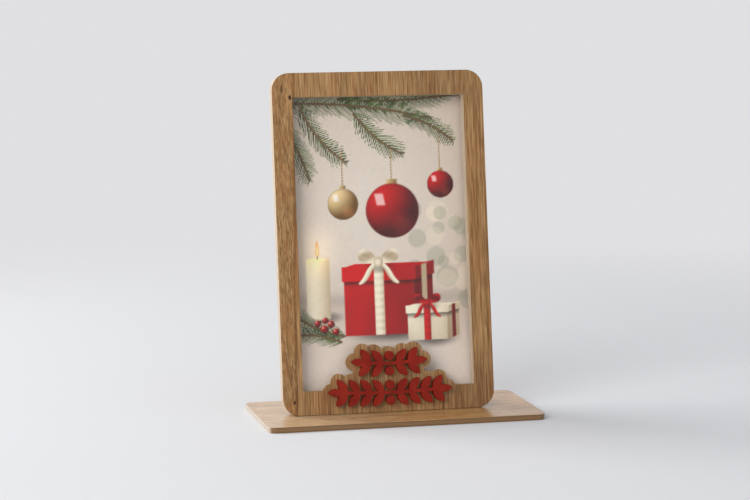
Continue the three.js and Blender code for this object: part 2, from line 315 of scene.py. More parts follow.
def build_knot_group() -> bpy.types.NodeTree:
    """Builds a soft oval spot: full at its middle, gone where (across, along) leave its oval.

    The tilt leans the oval: it moves the oval's middle across for each step along. A noise makes its
    rim ragged.

    Returns:
        The group, with the output Spot from 0 to 1.
    """
    sizes = ("Across", "Along", "Width", "Length", "Tilt")
    graph, start, end = new_group(
        "knot_spot", {"Place": "Vector"} | {size: "Float" for size in sizes}, {"Spot": "Float"}
    )
    taken = start.outputs
    across, _, along = graph.split(taken["Place"])
    above = graph.math("SUBTRACT", along, taken["Along"])
    middle = graph.math("MULTIPLY_ADD", above, taken["Tilt"], taken["Across"])
    side = graph.math("DIVIDE", graph.math("SUBTRACT", across, middle), taken["Width"])
    rise = graph.math("DIVIDE", above, taken["Length"])
    span = graph.math("SQRT", graph.math("MULTIPLY_ADD", side, side, graph.math("MULTIPLY", rise, rise)))
    ragged = graph.noise(taken["Place"], RAGGED_LUMPS)
    span = graph.math("ADD", span, graph.math("MULTIPLY_ADD", ragged, RAGGED_RIM, -RAGGED_RIM / 2))
    graph.feed(end, {"Spot": graph.step(span, *SPOT_SPAN, 1.0, 0.0)})
    return graph.tree


def build_cut_group() -> bpy.types.NodeTree:
    """Builds the masks of a laser-cut sheet from the way its surface faces.

    The normal is (across, through, along) the sheet. Where it points through the sheet it is a face,
    where it points along the sheet it is a cut wall, and what lies between is the eased edge. A wall
    that faces along the grain is an end. The wall's dark ply is a band of the depth through the
    sheet, centred on the sheet's own middle.

    Returns:
        The group, with the outputs Wall, End, Ease and Ply, each from 0 to 1.
    """
    graph, start, end = new_group(
        "laser_cut",
        {"Facing": "Vector", "Depth": "Float", "Thickness": "Float"},
        {"Wall": "Float", "End": "Float", "Ease": "Float", "Ply": "Float"},
    )
    taken = start.outputs
    _, through, along = graph.split(taken["Facing"])
    flat = graph.math("ABSOLUTE", through)
    wall = graph.step(flat, *WALL_SPAN, 1.0, 0.0)
    off_face = graph.math("SUBTRACT", 1.0, graph.step(flat, *FACE_SPAN))
    depth = graph.math("ABSOLUTE", graph.math("DIVIDE", taken["Depth"], taken["Thickness"]))
    masks = {
        "Wall": wall,
        "End": graph.step(graph.math("ABSOLUTE", along), *END_SPAN),
        "Ease": graph.math("SUBTRACT", off_face, wall),
        "Ply": graph.step(depth, *PLY_SPAN, 1.0, 0.0),
    }
    graph.feed(end, masks)
    return graph.tree


class Grain(Enum):
    """Which way a sheet's grain runs."""

    UPRIGHT_FACE = "leans with the frame, grain up the frame"
    LENGTHWISE = "lies flat, grain along the base"
    UPRIGHT_SIDE = "stands across the base, grain upright"

    def turn(self, lean: float) -> tuple[float, float, float]:
        """Gives the turn that brings the sheet to (across, through, along).

        Args:
            lean: How far the frame leans back.

        Returns:
            The angles about X, Y and Z, in radians.
        """
        quarter = math.pi / 2
        turns = {
            Grain.UPRIGHT_FACE: (lean, 0.0, 0.0),
            Grain.LENGTHWISE: (-quarter, -quarter, 0.0),
            Grain.UPRIGHT_SIDE: (0.0, 0.0, -quarter),
        }
        return turns[self]


@dataclass(frozen=True)
class SheetPlace:
    """Where a sheet's material is centred, which way its grain runs and how thick it is."""

    origin: tuple[float, float, float]
    grain: Grain
    lean: float
    thickness: float

    def wire(self, graph: Graph) -> tuple[Socket, Socket]:
        """Adds the nodes that bring Object coordinates and normals to (across, through, along).

        Args:
            graph: The material's graph.

        Returns:
            The sockets of the place in metres and of the way the surface faces.
        """
        angles = self.grain.turn(self.lean)
        turn = Matrix.Rotation(angles[2], 3, "Z") @ Matrix.Rotation(angles[1], 3, "Y")
        turn = turn @ Matrix.Rotation(angles[0], 3, "X")
        source = graph.add("ShaderNodeTexCoord").outputs
        shift = -(turn @ Vector(self.origin))
        inputs = {"Vector": source["Object"], "Location": shift, "Rotation": angles}
        place = graph.add("ShaderNodeMapping", inputs, vector_type="POINT")
        inputs = {"Vector": source["Normal"], "Rotation": angles}
        facing = graph.add("ShaderNodeMapping", inputs, vector_type="VECTOR")
        return place.outputs[0], facing.outputs[0]


@dataclass(frozen=True)
class Knot:
    """A knot or dark streak in the veneer, or a broad darker patch: its middle and half sizes in metres,
    strength and tilt.
    """

    across: float
    along: float
    width: float
    length: float
    strength: float = 1.0
    tilt: float = 0.0


@dataclass(frozen=True)
class Leaf:
    """The veneer's left leaf: its seam's place at the foot and at the top, and how its figure slants.

    The slant is least at the given waist, and the curl makes it steeper above and below. The
    shortness says how many times shorter its streaks are than those right of the seam, and the calm
    how far they are drawn to an even tone, which sets in just left of the seam. The seam itself is a
    dark line that fades out to both sides.
    """

    seam_foot: float
    seam_top: float
    height: float
    waist: float
    slant: float
    curl: float
    shortness: float
    tone: float
    calm: float
    calm_edge: float = 0.0004
    seam_span: Span = (0.0002, 0.0012)
    seam_dark: float = 0.25

    def wire(self, graph: Graph, place: Socket) -> tuple[Socket, Socket]:
        """Slants the grain left of the seam.

        The seam is a straight line. Left of it the across part gains the slant times the height above
        the waist and the curl times that height's cube, so that the lines there run down to the right
        and stop at the seam.

        Args:
            graph: The material's graph.
            place: The place on the sheet.

        Returns:
            The sockets of the slanted place, and of how far right of the seam each point is.
        """
        across, through, along = graph.split(place)
        seam_slope = (self.seam_top - self.seam_foot) / self.height
        seam = graph.math("MULTIPLY_ADD", along, seam_slope, self.seam_foot)
        beside = graph.math("SUBTRACT", across, seam)
        left = graph.math("LESS_THAN", beside, 0.0)
        above = graph.math("SUBTRACT", along, self.waist)
        steep = graph.math("MULTIPLY_ADD", graph.math("MULTIPLY", above, above), self.curl, self.slant)
        shift = graph.math("MULTIPLY", graph.math("MULTIPLY", above, steep), left)
        stretch = graph.math("MULTIPLY_ADD", left, self.shortness - 1, 1.0)
        run = graph.math("MULTIPLY", along, stretch)
        return graph.join(graph.math("ADD", across, shift), through, run), beside

    def settle(self, graph: Graph, beside: Socket, tone: Socket) -> Socket:
        """Calms the tone left of the seam, and darkens the seam.

        Args:
            graph: The material's graph.
            beside: How far right of the seam each point is.
            tone: The grain's tone.

        Returns:
            The new tone's socket.
        """
        calm = graph.step(beside, -self.calm_edge, 0.0, self.calm, 0.0)
        tone = graph.math("MULTIPLY_ADD", graph.math("SUBTRACT", self.tone, tone), calm, tone)
        seam = graph.step(graph.math("ABSOLUTE", beside), *self.seam_span, self.seam_dark, 0.0)
        return graph.math("SUBTRACT", tone, seam)


@dataclass(frozen=True)
class PaintedLightFade:
    """A veneer's end painted paler, as painted light from the side: where it is full along the sheet,
    where it is gone, and its tones.
    """

    full: float
    gone: float
    light: Colour
    dark: Colour


@dataclass(frozen=True)
class VeneerFinish:
    """Oiled wood veneer on a laser-cut sheet.

    The grain's tone goes from the dark to the light colour, some patches are redder, pores and knots
    darken it, the eased edges take the edge colour and the cut walls show their plies in it: a dark
    scorch on the frame's sheets, and on the base a lighter painted highlight. A sheet's end may also
    be painted paler, as painted light. Each share says how much of a mark's colour shows where the
    mark is strongest.
    """

    name: str
    light: Colour
    dark: Colour
    wall: Colour
    end_wall: Colour
    wander: float = 0.0012
    roughness: float = 0.42
    roughness_swing: float = 0.06
    specular: float = 0.5
    knots: tuple[Knot, ...] = ()
    leaf: Leaf | None = None
    painted_light_fade: PaintedLightFade | None = None
    tone_span: Span = WIDE_SPAN
    blush: Colour = (158, 102, 56)
    blush_share: float = 0.32
    pore: Colour = (92, 56, 24)
    pore_share: float = 0.4
    knot: Colour = (58, 26, 4)
    scorch_and_highlight: Colour = (84, 56, 30)
    ply_share: float = 0.3
    ease_share: float = 0.7
    relief: float = 0.25
    relief_depth: float = 0.00004

    def face_colour(self, graph: Graph, place: Socket, tone: Socket, grain: bpy.types.Node) -> Socket:
        """Adds the nodes that work out the wood's colour on a face.

        Args:
            graph: The material's graph.
            place: The place on the sheet.
            tone: The grain's tone.
            grain: The grain's node, for its pores and its redder patches.

        Returns:
            The colour's socket.
        """
        share = graph.step(tone, *self.tone_span)
        colour = graph.mix(share, linear(self.dark), linear(self.light))
        colour = graph.stain(colour, grain.outputs["Blush"], self.blush_share, self.blush)
        # Painted light: towards one end the paler tones take over from the grain's own.
        if self.painted_light_fade:
            _, _, along = graph.split(place)
            pale = graph.mix(share, linear(self.painted_light_fade.dark), linear(self.painted_light_fade.light))
            colour = graph.mix(graph.step(along, self.painted_light_fade.full, self.painted_light_fade.gone, 1.0, 0.0), colour, pale)
        colour = graph.stain(colour, grain.outputs["Pore"], self.pore_share, self.pore)
        for knot in self.knots:
            spot = graph.group(
                KNOT,
                Place=place,
                Across=knot.across,
                Along=knot.along,
                Width=knot.width,
                Length=knot.length,
                Tilt=knot.tilt,
            )
            colour = graph.stain(colour, spot.outputs["Spot"], knot.strength, self.knot)
        return colour

    def cut_colour(self, graph: Graph, face: Socket, cut: bpy.types.Node) -> Socket:
        """Adds the nodes that colour the cut walls and the eased edges.

        Args:
            graph: The material's graph.
            face: The colour on a face.
            cut: The laser cut's node, for its masks.

        Returns:
            The colour's socket.
        """
        wall = graph.mix(cut.outputs["End"], linear(self.wall), linear(self.end_wall))
        wall = graph.stain(wall, cut.outputs["Ply"], self.ply_share, self.scorch_and_highlight)
        colour = graph.mix(cut.outputs["Wall"], face, wall)
        return graph.stain(colour, cut.outputs["Ease"], self.ease_share, self.scorch_and_highlight)

    def material(self, place: SheetPlace) -> bpy.types.Material:
        """Makes the finish for one sheet.

        Args:
            place: Where the sheet is and which way its grain runs.

        Returns:
            The material.
        """
        material, graph, shader = new_material(self.name)
        where, facing = place.wire(graph)
        slanted, beside = self.leaf.wire(graph, where) if self.leaf else (where, None)
        grain = graph.group(GRAIN, Place=slanted, Wander=self.wander)
        tone = grain.outputs["Tone"]
        if self.leaf:
            tone = self.leaf.settle(graph, beside, tone)
        face = self.face_colour(graph, where, tone, grain)
        _, through, _ = graph.split(where)
        cut = graph.group(CUT, Facing=facing, Depth=through, Thickness=place.thickness)
        dull, bright = self.roughness + self.roughness_swing, self.roughness - self.roughness_swing
        inputs = {
            "Base Color": self.cut_colour(graph, face, cut),
            "Roughness": graph.step(tone, *self.tone_span, dull, bright),
            "Specular IOR Level": self.specular,
            "Normal": graph.bump(grain.outputs["Height"], self.relief, self.relief_depth),
        }
        graph.feed(shader, inputs)
        return material


@dataclass(frozen=True)
class TrimFinish:
    """Painted sheet: a satin coat whose colour clouds a little, with a faint brushed texture."""

    name: str
    colour: Colour
    shade: Colour
    roughness: Span
    specular: float = 0.14
    cloud_lumps: float = 160.0
    cloud_span: Span = (0.25, 0.75)
    grit_lumps: float = 2600.0
    grit_relief: float = 0.12
    grit_depth: float = 0.00003

    def material(self) -> bpy.types.Material:
        """Makes the finish.

        Returns:
            The material.
        """
        material, graph, shader = new_material(self.name)
        place = graph.place()
        cloud = graph.step(graph.noise(place, self.cloud_lumps, detail=3.0), *self.cloud_span)
        grit = graph.noise(place, self.grit_lumps, detail=1.0)
        inputs = {
            "Base Color": graph.mix(cloud, linear(self.shade), linear(self.colour)),
            "Roughness": graph.step(grit, *MIDDLE_SPAN, *self.roughness),
            "Specular IOR Level": self.specular,
            "Normal": graph.bump(grit, self.grit_relief, self.grit_depth),
        }
        graph.feed(shader, inputs)
        return material


@dataclass(frozen=True)
class ClearFinish:
    """Clear sheet with a coat that keeps reflections low, open to the light on what lies behind it."""

    name: str
    tint: Colour
    roughness: Span
    bending: float
    haze_lumps: float = 40.0
    haze_span: Span = (0.35, 0.7)

    def material(self) -> bpy.types.Material:
        """Makes the finish.

        Returns:
            The material.
        """
        material, graph, shader = new_material(self.name)
        haze = graph.noise(graph.place(), self.haze_lumps)
        inputs = {
            "Base Color": linear(self.tint),
            "Roughness": graph.step(haze, *self.haze_span, *self.roughness),
            "IOR": self.bending,
            "Transmission Weight": 1.0,
        }
        graph.feed(shader, inputs)
        rays = graph.add("ShaderNodeLightPath").outputs
        lit = graph.math("MAXIMUM", rays["Is Shadow Ray"], rays["Is Diffuse Ray"])
        gap = graph.add("ShaderNodeBsdfTransparent").outputs[0]
        graph.blend(lit, shader.outputs[0], gap, "Material Output")
        return material


@dataclass(frozen=True)
class PictureFinish:
    """A print on satin paper: the picture's own colours, with the paper's fine tooth."""

    name: str
    attribute: str
    roughness: Span
    tooth_lumps: float = 1800.0
    tooth_shade: float = 0.97
    tooth_relief: float = 0.05
    tooth_depth: float = 0.00002

    def material(self) -> bpy.types.Material:
        """Makes the finish.

        Returns:
            The material.
        """
        material, graph, shader = new_material(self.name)
        ink = graph.add("ShaderNodeAttribute", attribute_name=self.attribute)
        tooth = graph.noise(graph.place(), self.tooth_lumps)
        shade = graph.step(tooth, *WIDE_SPAN, self.tooth_shade, 1.0)
        colour = graph.mix(1.0, ink.outputs["Color"], graph.join(shade, shade, shade), "MULTIPLY")
        inputs = {
            "Base Color": colour,
            "Roughness": graph.step(tooth, *MIDDLE_SPAN, *self.roughness),
            "Normal": graph.bump(tooth, self.tooth_relief, self.tooth_depth),
        }
        graph.feed(shader, inputs)
        return material


@dataclass(frozen=True)
class CardFinish:
    """Grey board: short fibres and flecks in a matt sheet."""

    name: str
    colour: Colour
    fleck: Colour
    roughness: Span = (0.82, 0.95)
    fibre_lumps: Lumps = (700.0, 700.0, 260.0)
    fibre_span: Span = (0.3, 0.8)
    fleck_lumps: Lumps = (1500.0, 1500.0, 900.0)
    fleck_span: Span = (0.66, 0.72)
    fibre_share: float = 0.5
    fibre_relief: float = 0.3
    fibre_depth: float = 0.00003

    def material(self) -> bpy.types.Material:
        """Makes the finish.

        Returns:
            The material.
        """
        material, graph, shader = new_material(self.name)
        place = graph.place()
        fibre = graph.noise(place, self.fibre_lumps, detail=4.0, roughness=0.7)
        fleck = graph.step(graph.noise(place, self.fleck_lumps, detail=1.0), *self.fleck_span)
        tone = graph.math("MAXIMUM", graph.step(fibre, *self.fibre_span, 0.0, self.fibre_share), fleck)
        inputs = {
            "Base Color": graph.mix(tone, linear(self.colour), linear(self.fleck)),
            "Roughness": graph.step(fibre, *MIDDLE_SPAN, *self.roughness),
            "Normal": graph.bump(fibre, self.fibre_relief, self.fibre_depth),
        }
        graph.feed(shader, inputs)
        return material


GRAIN = build_grain_group()
KNOT = build_knot_group()
CUT = build_cut_group()

FACE_WOOD = VeneerFinish(
    name="face_veneer",
    light=(184, 146, 98),
    dark=(118, 81, 43),
    wall=(208, 188, 164),
    end_wall=(196, 172, 138),
    specular=0.28,
    leaf=Leaf(
        seam_foot=-0.0488,
        seam_top=-0.0440,
        height=0.175,
        waist=0.1,
        slant=0.02,
        curl=4.5,
        shortness=3.4,
        tone=0.5,
        calm=0.15,
    ),
    knots=(
        Knot(-0.0463, 0.1625, 0.0012, 0.0019),
        Knot(-0.0504, 0.1669, 0.0009, 0.0032, strength=0.75),
        Knot(-0.0496, 0.0071, 0.0010, 0.0016),
        Knot(-0.0488, 0.0160, 0.0010, 0.0180, strength=0.16),
        Knot(-0.0519, 0.0224, 0.0008, 0.0170, strength=0.38, tilt=-0.15),
        Knot(-0.0497, 0.1347, 0.0007, 0.0130, strength=0.42, tilt=-0.21),
        Knot(-0.0470, 0.1480, 0.0010, 0.0170, strength=0.25),
        # Broad darker patches: the top rail's right, and the bottom rail's right and left.
        Knot(0.0330, 0.1700, 0.0220, 0.0300, strength=0.22),
        Knot(0.0450, 0.0050, 0.0200, 0.0300, strength=0.31),
        Knot(-0.0380, 0.0040, 0.0160, 0.0160, strength=0.05),
    ),
)
BASE_WOOD = VeneerFinish(
    name="base_veneer",
    light=(214, 172, 116),
    dark=(152, 108, 60),
    # The long walls' dark brown is scorch and painted shade; the pale end walls are painted light from
    # the left.
    wall=(110, 78, 38),
    end_wall=(194, 183, 166),
    wander=0.0035,
    roughness=0.24,
    specular=0.75,
    # Painted light: the board's left end is painted paler, standing in for the light from the left.
    painted_light_fade=PaintedLightFade(full=-0.05, gone=0.012, light=(218, 188, 152), dark=(170, 136, 97)),
    # Painted highlight: the eased edges and the walls' middle ply are painted lighter than the walls.
    scorch_and_highlight=(158, 115, 66),
)
BACK_WOOD = VeneerFinish(
    name="back_board",
    light=(182, 152, 114),
    dark=(146, 114, 78),
    wall=(150, 118, 84),
    end_wall=(138, 106, 74),
    roughness=0.6,
    specular=0.3,
)
RED_TRIM = TrimFinish(name="red_satin", colour=(143, 37, 22), shade=(121, 25, 12), roughness=(0.4, 0.52))
CLEAR_COVER = ClearFinish(
    name="clear_acrylic", tint=(253, 254, 254), roughness=(0.02, 0.05), bending=1.16
)
PRINTED_PAPER = PictureFinish(name="printed_paper", attribute="picture", roughness=(0.45, 0.55))
GREY_CARD = CardFinish(name="grey_board", colour=(141, 138, 132), fleck=(96, 92, 86))


@dataclass(frozen=True)
class LeaningPlane:
    """The plane of the frame's front face: where it meets the base, and how far it leans back."""

    middle: float
    foot_y: float
    foot_z: float
    lean: float

    @classmethod
    def of_packed_model(cls) -> "LeaningPlane":
        """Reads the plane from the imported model.

        The lean is the way the frame lifts. The front layer's foot is level, so the box's lowest front
        edge lies on the face, and from there the plane runs down to the base's top.

        Returns:
            The plane.
        """
        axis = next(joint["axis"] for joint in frame["joints"] if joint["name"] == "frame_lift")
        lean = math.atan2(axis[1], axis[2])
        low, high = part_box("front_frame")
        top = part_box("base_board")[1].z
        return cls((low.x + high.x) / 2, low.y - (low.z - top) * math.tan(lean), top, lean)

    def place(self, across: Array | float, depth: Array | float, rise: Array | float) -> Array:
        """Stands points up in the leaning frame.

        Args:
            across: How far right of the frame's middle each point is.
            depth: How far behind the front face it is.
            rise: How far up the leaning face it is, from the base's top.

        Returns:
            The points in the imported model's frame, with a last axis of three.
        """
        up, back = math.cos(self.lean), math.sin(self.lean)
        y = self.foot_y + depth * up + rise * back
        z = self.foot_z - depth * back + rise * up
        return np.stack((self.middle + across, y, z), axis=-1)

    def extent(self, node: str) -> tuple[Array, Array]:
        """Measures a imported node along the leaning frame's own directions.

        Args:
            node: The node's name.

        Returns:
            Its lowest and highest (across, depth, rise).
        """
        mesh = frame["nodes"][node].data
        points = np.empty(len(mesh.vertices) * 3)
        mesh.vertices.foreach_get("co", points)
        x, y, z = points.reshape(-1, 3).T
        up, back = math.cos(self.lean), math.sin(self.lean)
        y, z = y - self.foot_y, z - self.foot_z
        local = np.stack((x - self.middle, y * up - z * back, y * back + z * up))
        return local.min(axis=1), local.max(axis=1)

    def sheet(self, node: str) -> SheetPlace:
        """Gives the place of a leaning sheet's material.

        Args:
            node: The sheet's node.

        Returns:
            The place, centred on the sheet's own thickness.
        """
        low, high = self.extent(node)
        origin = self.place(0.0, (low[1] + high[1]) / 2, 0.0)
        return SheetPlace(tuple(origin), Grain.UPRIGHT_FACE, self.lean, high[1] - low[1])


def new_piece(name: str, points: Array, faces: list[list[int]]) -> bpy.types.Object:
    """Makes a mesh object at the origin.

    Args:
        name: The piece's name.
        points: The vertices, as an array of (points, 3).
        faces: The faces, as lists of vertex numbers.

    Returns:
        The object, in the scene.
    """
    mesh = bpy.data.meshes.new(name)
    mesh.from_pydata(points.tolist(), [], faces)
    mesh.validate()
    piece = bpy.data.objects.new(name, mesh)
    bpy.context.scene.collection.objects.link(piece)
    return piece


def grid_faces(number: Array) -> list[list[int]]:
    """Gives the faces of a grid of point numbers: each with those right, above right and above."""
    corners = (number[:-1, :-1], number[:-1, 1:], number[1:, 1:], number[1:, :-1])
    return np.stack(corners, axis=-1).reshape(-1, 4).tolist()


def ease_edges(piece: bpy.types.Object, width: float) -> None:
    """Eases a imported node's cut edges.

    Its loose triangles are joined, its flat faces are made whole, and each sharp edge is rounded.

    Args:
        piece: The node's object.
        width: How far the rounding reaches from the edge.
    """
    joined = piece.modifiers.new("joined", "WELD")
    joined.merge_threshold = WELD_REACH
    whole = piece.modifiers.new("whole_faces", "DECIMATE")
    whole.decimate_type = "DISSOLVE"
    whole.angle_limit = FLAT_ANGLE
    eased = piece.modifiers.new("eased", "BEVEL")
    eased.width = width
    eased.segments = EASE_STEPS
    eased.limit_method = "ANGLE"
    eased.angle_limit = SHARP_ANGLE
    eased.use_clamp_overlap = False
    eased.loop_slide = False
    eased.harden_normals = True


def dress(node: str, material: bpy.types.Material, ease: float = 0.0) -> None:
    """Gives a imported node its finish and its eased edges.

    Args:
        node: The node's name.
        material: Its finish.
        ease: How far its edges are eased, or 0 where they stay as the laser leaves them.
    """
    piece = frame["nodes"][node]
    piece.data.materials.clear()
    piece.data.materials.append(material)
    if ease:
        ease_edges(piece, ease)
    log.info("%s wears %s", node, material.name)


@dataclass
class LeaningFrame:
    """The frame: its veneered face and the layer behind it, the spacers and the back."""

    plane: LeaningPlane
    face_ease: float = 0.00008
    back_ease: float = 0.0003
    back_nodes: tuple[str, ...] = ("spacer_left", "spacer_right", "spacer_bottom", "back_panel")

    def build(self) -> None:
        """Dresses the face and the layers behind it."""
        dress("front_frame", FACE_WOOD.material(self.plane.sheet("front_frame")), self.face_ease)
        dress("inner_frame", FACE_WOOD.material(self.plane.sheet("inner_frame")))
        for node in self.back_nodes:
            dress(node, BACK_WOOD.material(self.plane.sheet(node)), self.back_ease)


@dataclass
class Badge:
    """The badge at the frame's foot: the red garlands and berries on the face's scalloped ground."""

    berry_ease: float = 0.0002
    garlands: tuple[str, ...] = ("lower_garland", "upper_garland")
    berries: tuple[str, ...] = ("berry_1", "berry_2", "berry_3", "berry_4")

    def build(self) -> None:
        """Dresses the red pieces: the garlands stay crisp, and the berries are eased."""
        red = RED_TRIM.material()
        for node in self.garlands:
            dress(node, red)
        for node in self.berries:
            dress(node, red, self.berry_ease)


@dataclass
class SlottedBase:
    """The base board, and the two braces that stand in its slots."""

    lean: float
    board_ease: float = 0.00016
    brace_ease: float = 0.0003
    braces: tuple[str, ...] = ("brace_left", "brace_right")

    def place(self, node: str, grain: Grain, thick_axis: int) -> SheetPlace:
        """Gives the place of a piece's material, centred on it, with its thickness along an axis."""
        low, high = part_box(node)
        return SheetPlace(tuple((low + high) / 2), grain, self.lean, (high - low)[thick_axis])

    def build(self) -> None:
        """Dresses the board and the braces."""
        board = self.place("base_board", Grain.LENGTHWISE, 2)
        dress("base_board", BASE_WOOD.material(board), self.board_ease)
        for node in self.braces:
            dress(node, BACK_WOOD.material(self.place(node, Grain.UPRIGHT_SIDE, 0)), self.brace_ease)


def smooth(value: Array, low: Array | float, high: Array | float) -> Array:
    """Goes from 0 to 1 along a smooth S as a value goes from low to high, which may lie below low."""
    share = np.clip((value - low) / (high - low), 0, 1)
    return share * share * (3 - 2 * share)


def band(value: Array, low: Array | float, high: Array | float, soft: float = 0.3) -> Array:
    """Gives 1 between two limits and 0 outside them, with edges that are soft to both sides."""
    return smooth(value - low, -soft, soft) * smooth(high - value, -soft, soft)


def lattice_noise(x: Array, y: Array, seed: int) -> Array:
    """Gives a smooth noise: random numbers on a lattice of unit squares, blended across each square.

    Args:
        x: The places across, in squares.
        y: The places up, in squares.
        seed: Which random numbers are used.

    Returns:
        Values from 0 to 1 in the same shape.
    """
    numbers = np.random.default_rng(seed).random((LATTICE, LATTICE))
    column, row = np.floor(x).astype(int), np.floor(y).astype(int)
    across, up = smooth(x - column, 0, 1), smooth(y - row, 0, 1)
    corner = [numbers[(row + j) % LATTICE, (column + i) % LATTICE] for j in (0, 1) for i in (0, 1)]
    lower = corner[0] + (corner[1] - corner[0]) * across
    upper = corner[2] + (corner[3] - corner[2]) * across
    return lower + (upper - lower) * up


def two_tone(share: Array, tones: Tones) -> Array:
    """Mixes a dark and a light screen colour by a share of the light one, into values from 0 to 1."""
    dark, light = np.array(tones, float)
    return (dark + np.clip(share, 0, 1)[..., None] * (light - dark)) / 255


@dataclass
class Canvas:
    """A picture in the making: the places of its points in millimetres, and their screen colours."""

    x: Array
    y: Array
    ink: Array = field(init=False)

    def __post_init__(self) -> None:
        """Starts with a bare sheet."""
        self.ink = np.ones(self.x.shape + (3,))

    def oval(self, x: float, y: float, half_width: float, half_height: Array | float) -> Array:
        """Measures how far each point is from an oval's middle, with 1 on the oval itself."""
        return np.hypot((self.x - x) / half_width, (self.y - y) / half_height)

    def lay(self, mask: Array, colour: Array | Colour) -> None:
        """Lays a colour over the picture: one from 0 to 255, or one per point from 0 to 1."""
        paint = np.array(colour, float) / 255 if isinstance(colour, tuple) else colour
        self.ink += mask[..., None] * (paint - self.ink)

    def tint(self, mask: Array, share: Array, tones: Tones) -> None:
        """Lays a mix of two colours over the picture, by a share of the light one per point."""
        self.lay(mask, two_tone(share, tones))

    def shade(self, amount: Array) -> None:
        """Takes an amount of light away at each point, from 0 to 1."""
        self.ink *= (1 - amount)[..., None]

    def shine(self, amount: Array, light: Colour) -> None:
        """Adds an amount of a light at each point, whose parts go from 0 to 1."""
        self.ink += amount[..., None] * np.array(light)

    def shadow(self, x: float, y: float, half: tuple[float, float], dark: float, core: float) -> None:
        """Darkens a soft oval of the given half width and height, most within its core's share of it."""
        self.shade(dark * smooth(self.oval(x, y, *half), 1.0, core))


@dataclass(frozen=True)
class Sheen:
    """A tone that goes up and down: its middle, its swing, and its cosine's turning and start."""

    middle: float
    swing: float
    turning: float
    start: float = 0.0

    def tone(self, place: Array) -> Array:
        """Gives the tone at each place: the middle, plus the swing times the cosine."""
        return self.middle + self.swing * np.cos(place * self.turning + self.start)


@dataclass(frozen=True)
class Wash:
    """A tone that changes evenly: at the lower left, and what it gains to the right and upwards."""

    corner: float
    right: float
    up: float = 0.0

    def tone(self, across: Array, up: Array) -> Array:
        """Gives the tone at each place, in shares of the width and height."""
        return self.corner + self.right * across + self.up * up


@dataclass(frozen=True)
class Ball:
    """A hanging glass ball: its middle and radius in millimetres, its tones, and where its cord starts.

    The cord's half width and the cap's lift are in millimetres too. The sizes and places of the cap,
    the far light and the window are in radii. The lamp is the way to the light: across, up and
    towards the eye. The colours of the room, the far light and the window are light values from 0 to
    1. A ball whose cord starts at its own middle hangs on none.
    """

    x: float
    y: float
    radius: float
    tones: Tones
    cord_top: float
    cord_tones: Tones = ((120, 86, 46), (206, 172, 120))
    cord_span: Span = (0.55, 0.2)
    cord_twist: float = 4.0
    cord_share: float = 0.8
    cap_tones: Tones = ((120, 86, 40), (236, 208, 150))
    cap_lift: float = 0.6
    cap_across: Span = (0.24, 0.16)
    cap_up: Span = (0.16, 0.08)
    cap_fall: float = 2.2
    lamp: tuple[float, float, float] = (-0.52, 0.58, 0.63)
    lamp_power: float = 1.2
    room: Colour = (0.62, 0.5, 0.44)
    rim_span: Span = (0.42, 0.0)
    rim_share: float = 0.35
    far_light: Colour = (1.0, 0.62, 0.5)
    far_place: tuple[float, float] = (0.34, -0.52)
    far_span: Span = (0.55, 0.1)
    far_share: float = 0.16
    window: Colour = (1.0, 0.97, 0.94)
    window_place: tuple[float, float] = (-0.38, 0.42)
    window_lean: float = 0.2
    window_across: Span = (0.2, 0.13)
    window_up: Span = (0.27, 0.17)
    window_share: float = 0.72
    edge_span: Span = (1.03, 0.99)

    def paint(self, canvas: Canvas) -> None:
        """Paints the cord, the cap and the glass, one over the other.

        The cord's tone goes up and down with a sine of the height, and the cap's falls from left to
        right.

        Args:
            canvas: The picture.
        """
        across = (canvas.x - self.x) / self.radius
        aside = np.abs(canvas.x - self.x)
        cord = smooth(aside, *self.cord_span) * (canvas.y > self.y) * (canvas.y < self.cord_top)
        twist = 0.5 + 0.5 * np.sin(canvas.y * self.cord_twist)
        canvas.tint(self.cord_share * cord, twist, self.cord_tones)
        above = np.abs(canvas.y - self.y - self.radius - self.cap_lift) / self.radius
        cap = smooth(np.abs(across), *self.cap_across) * smooth(above, *self.cap_up)
        canvas.tint(cap, 0.5 - self.cap_fall * across, self.cap_tones)
        self.paint_glass(canvas, across, (canvas.y - self.y) / self.radius)

    def paint_glass(self, canvas: Canvas, across: Array, up: Array) -> None:
        """Paints the ball itself.

        Its surface normal is (across, up, square root of one minus their squares). Its tone follows a
        power of the lamp's light on that normal, its rim takes the room's colour, a soft light lies on
        the far side, and a bright leaning window on the near one.

        Args:
            canvas: The picture.
            across: Each point's place right of the middle, in radii.
            up: Each point's place above the middle, in radii.
        """
        span = np.hypot(across, up)
        towards = np.sqrt(np.clip(1 - span * span, 0, 1))
        light = np.clip(self.lamp[0] * across + self.lamp[1] * up + self.lamp[2] * towards, 0, 1)
        tone = two_tone(light**self.lamp_power, self.tones)
        rim = self.rim_share * smooth(towards, *self.rim_span)[..., None]
        tone = tone + rim * (np.array(self.room) - tone)
        far = np.hypot(across - self.far_place[0], up - self.far_place[1])
        far = self.far_share * smooth(far, *self.far_span)[..., None]
        tone = tone + far * np.array(self.far_light)
        beside = np.abs(across - self.window_place[0] + self.window_lean * up)
        above = np.abs(up - self.window_place[1])
        pane = smooth(beside, *self.window_across) * smooth(above, *self.window_up)
        tone = tone + self.window_share * pane[..., None] * (np.array(self.window) - tone)
        canvas.lay(smooth(span, *self.edge_span), tone)


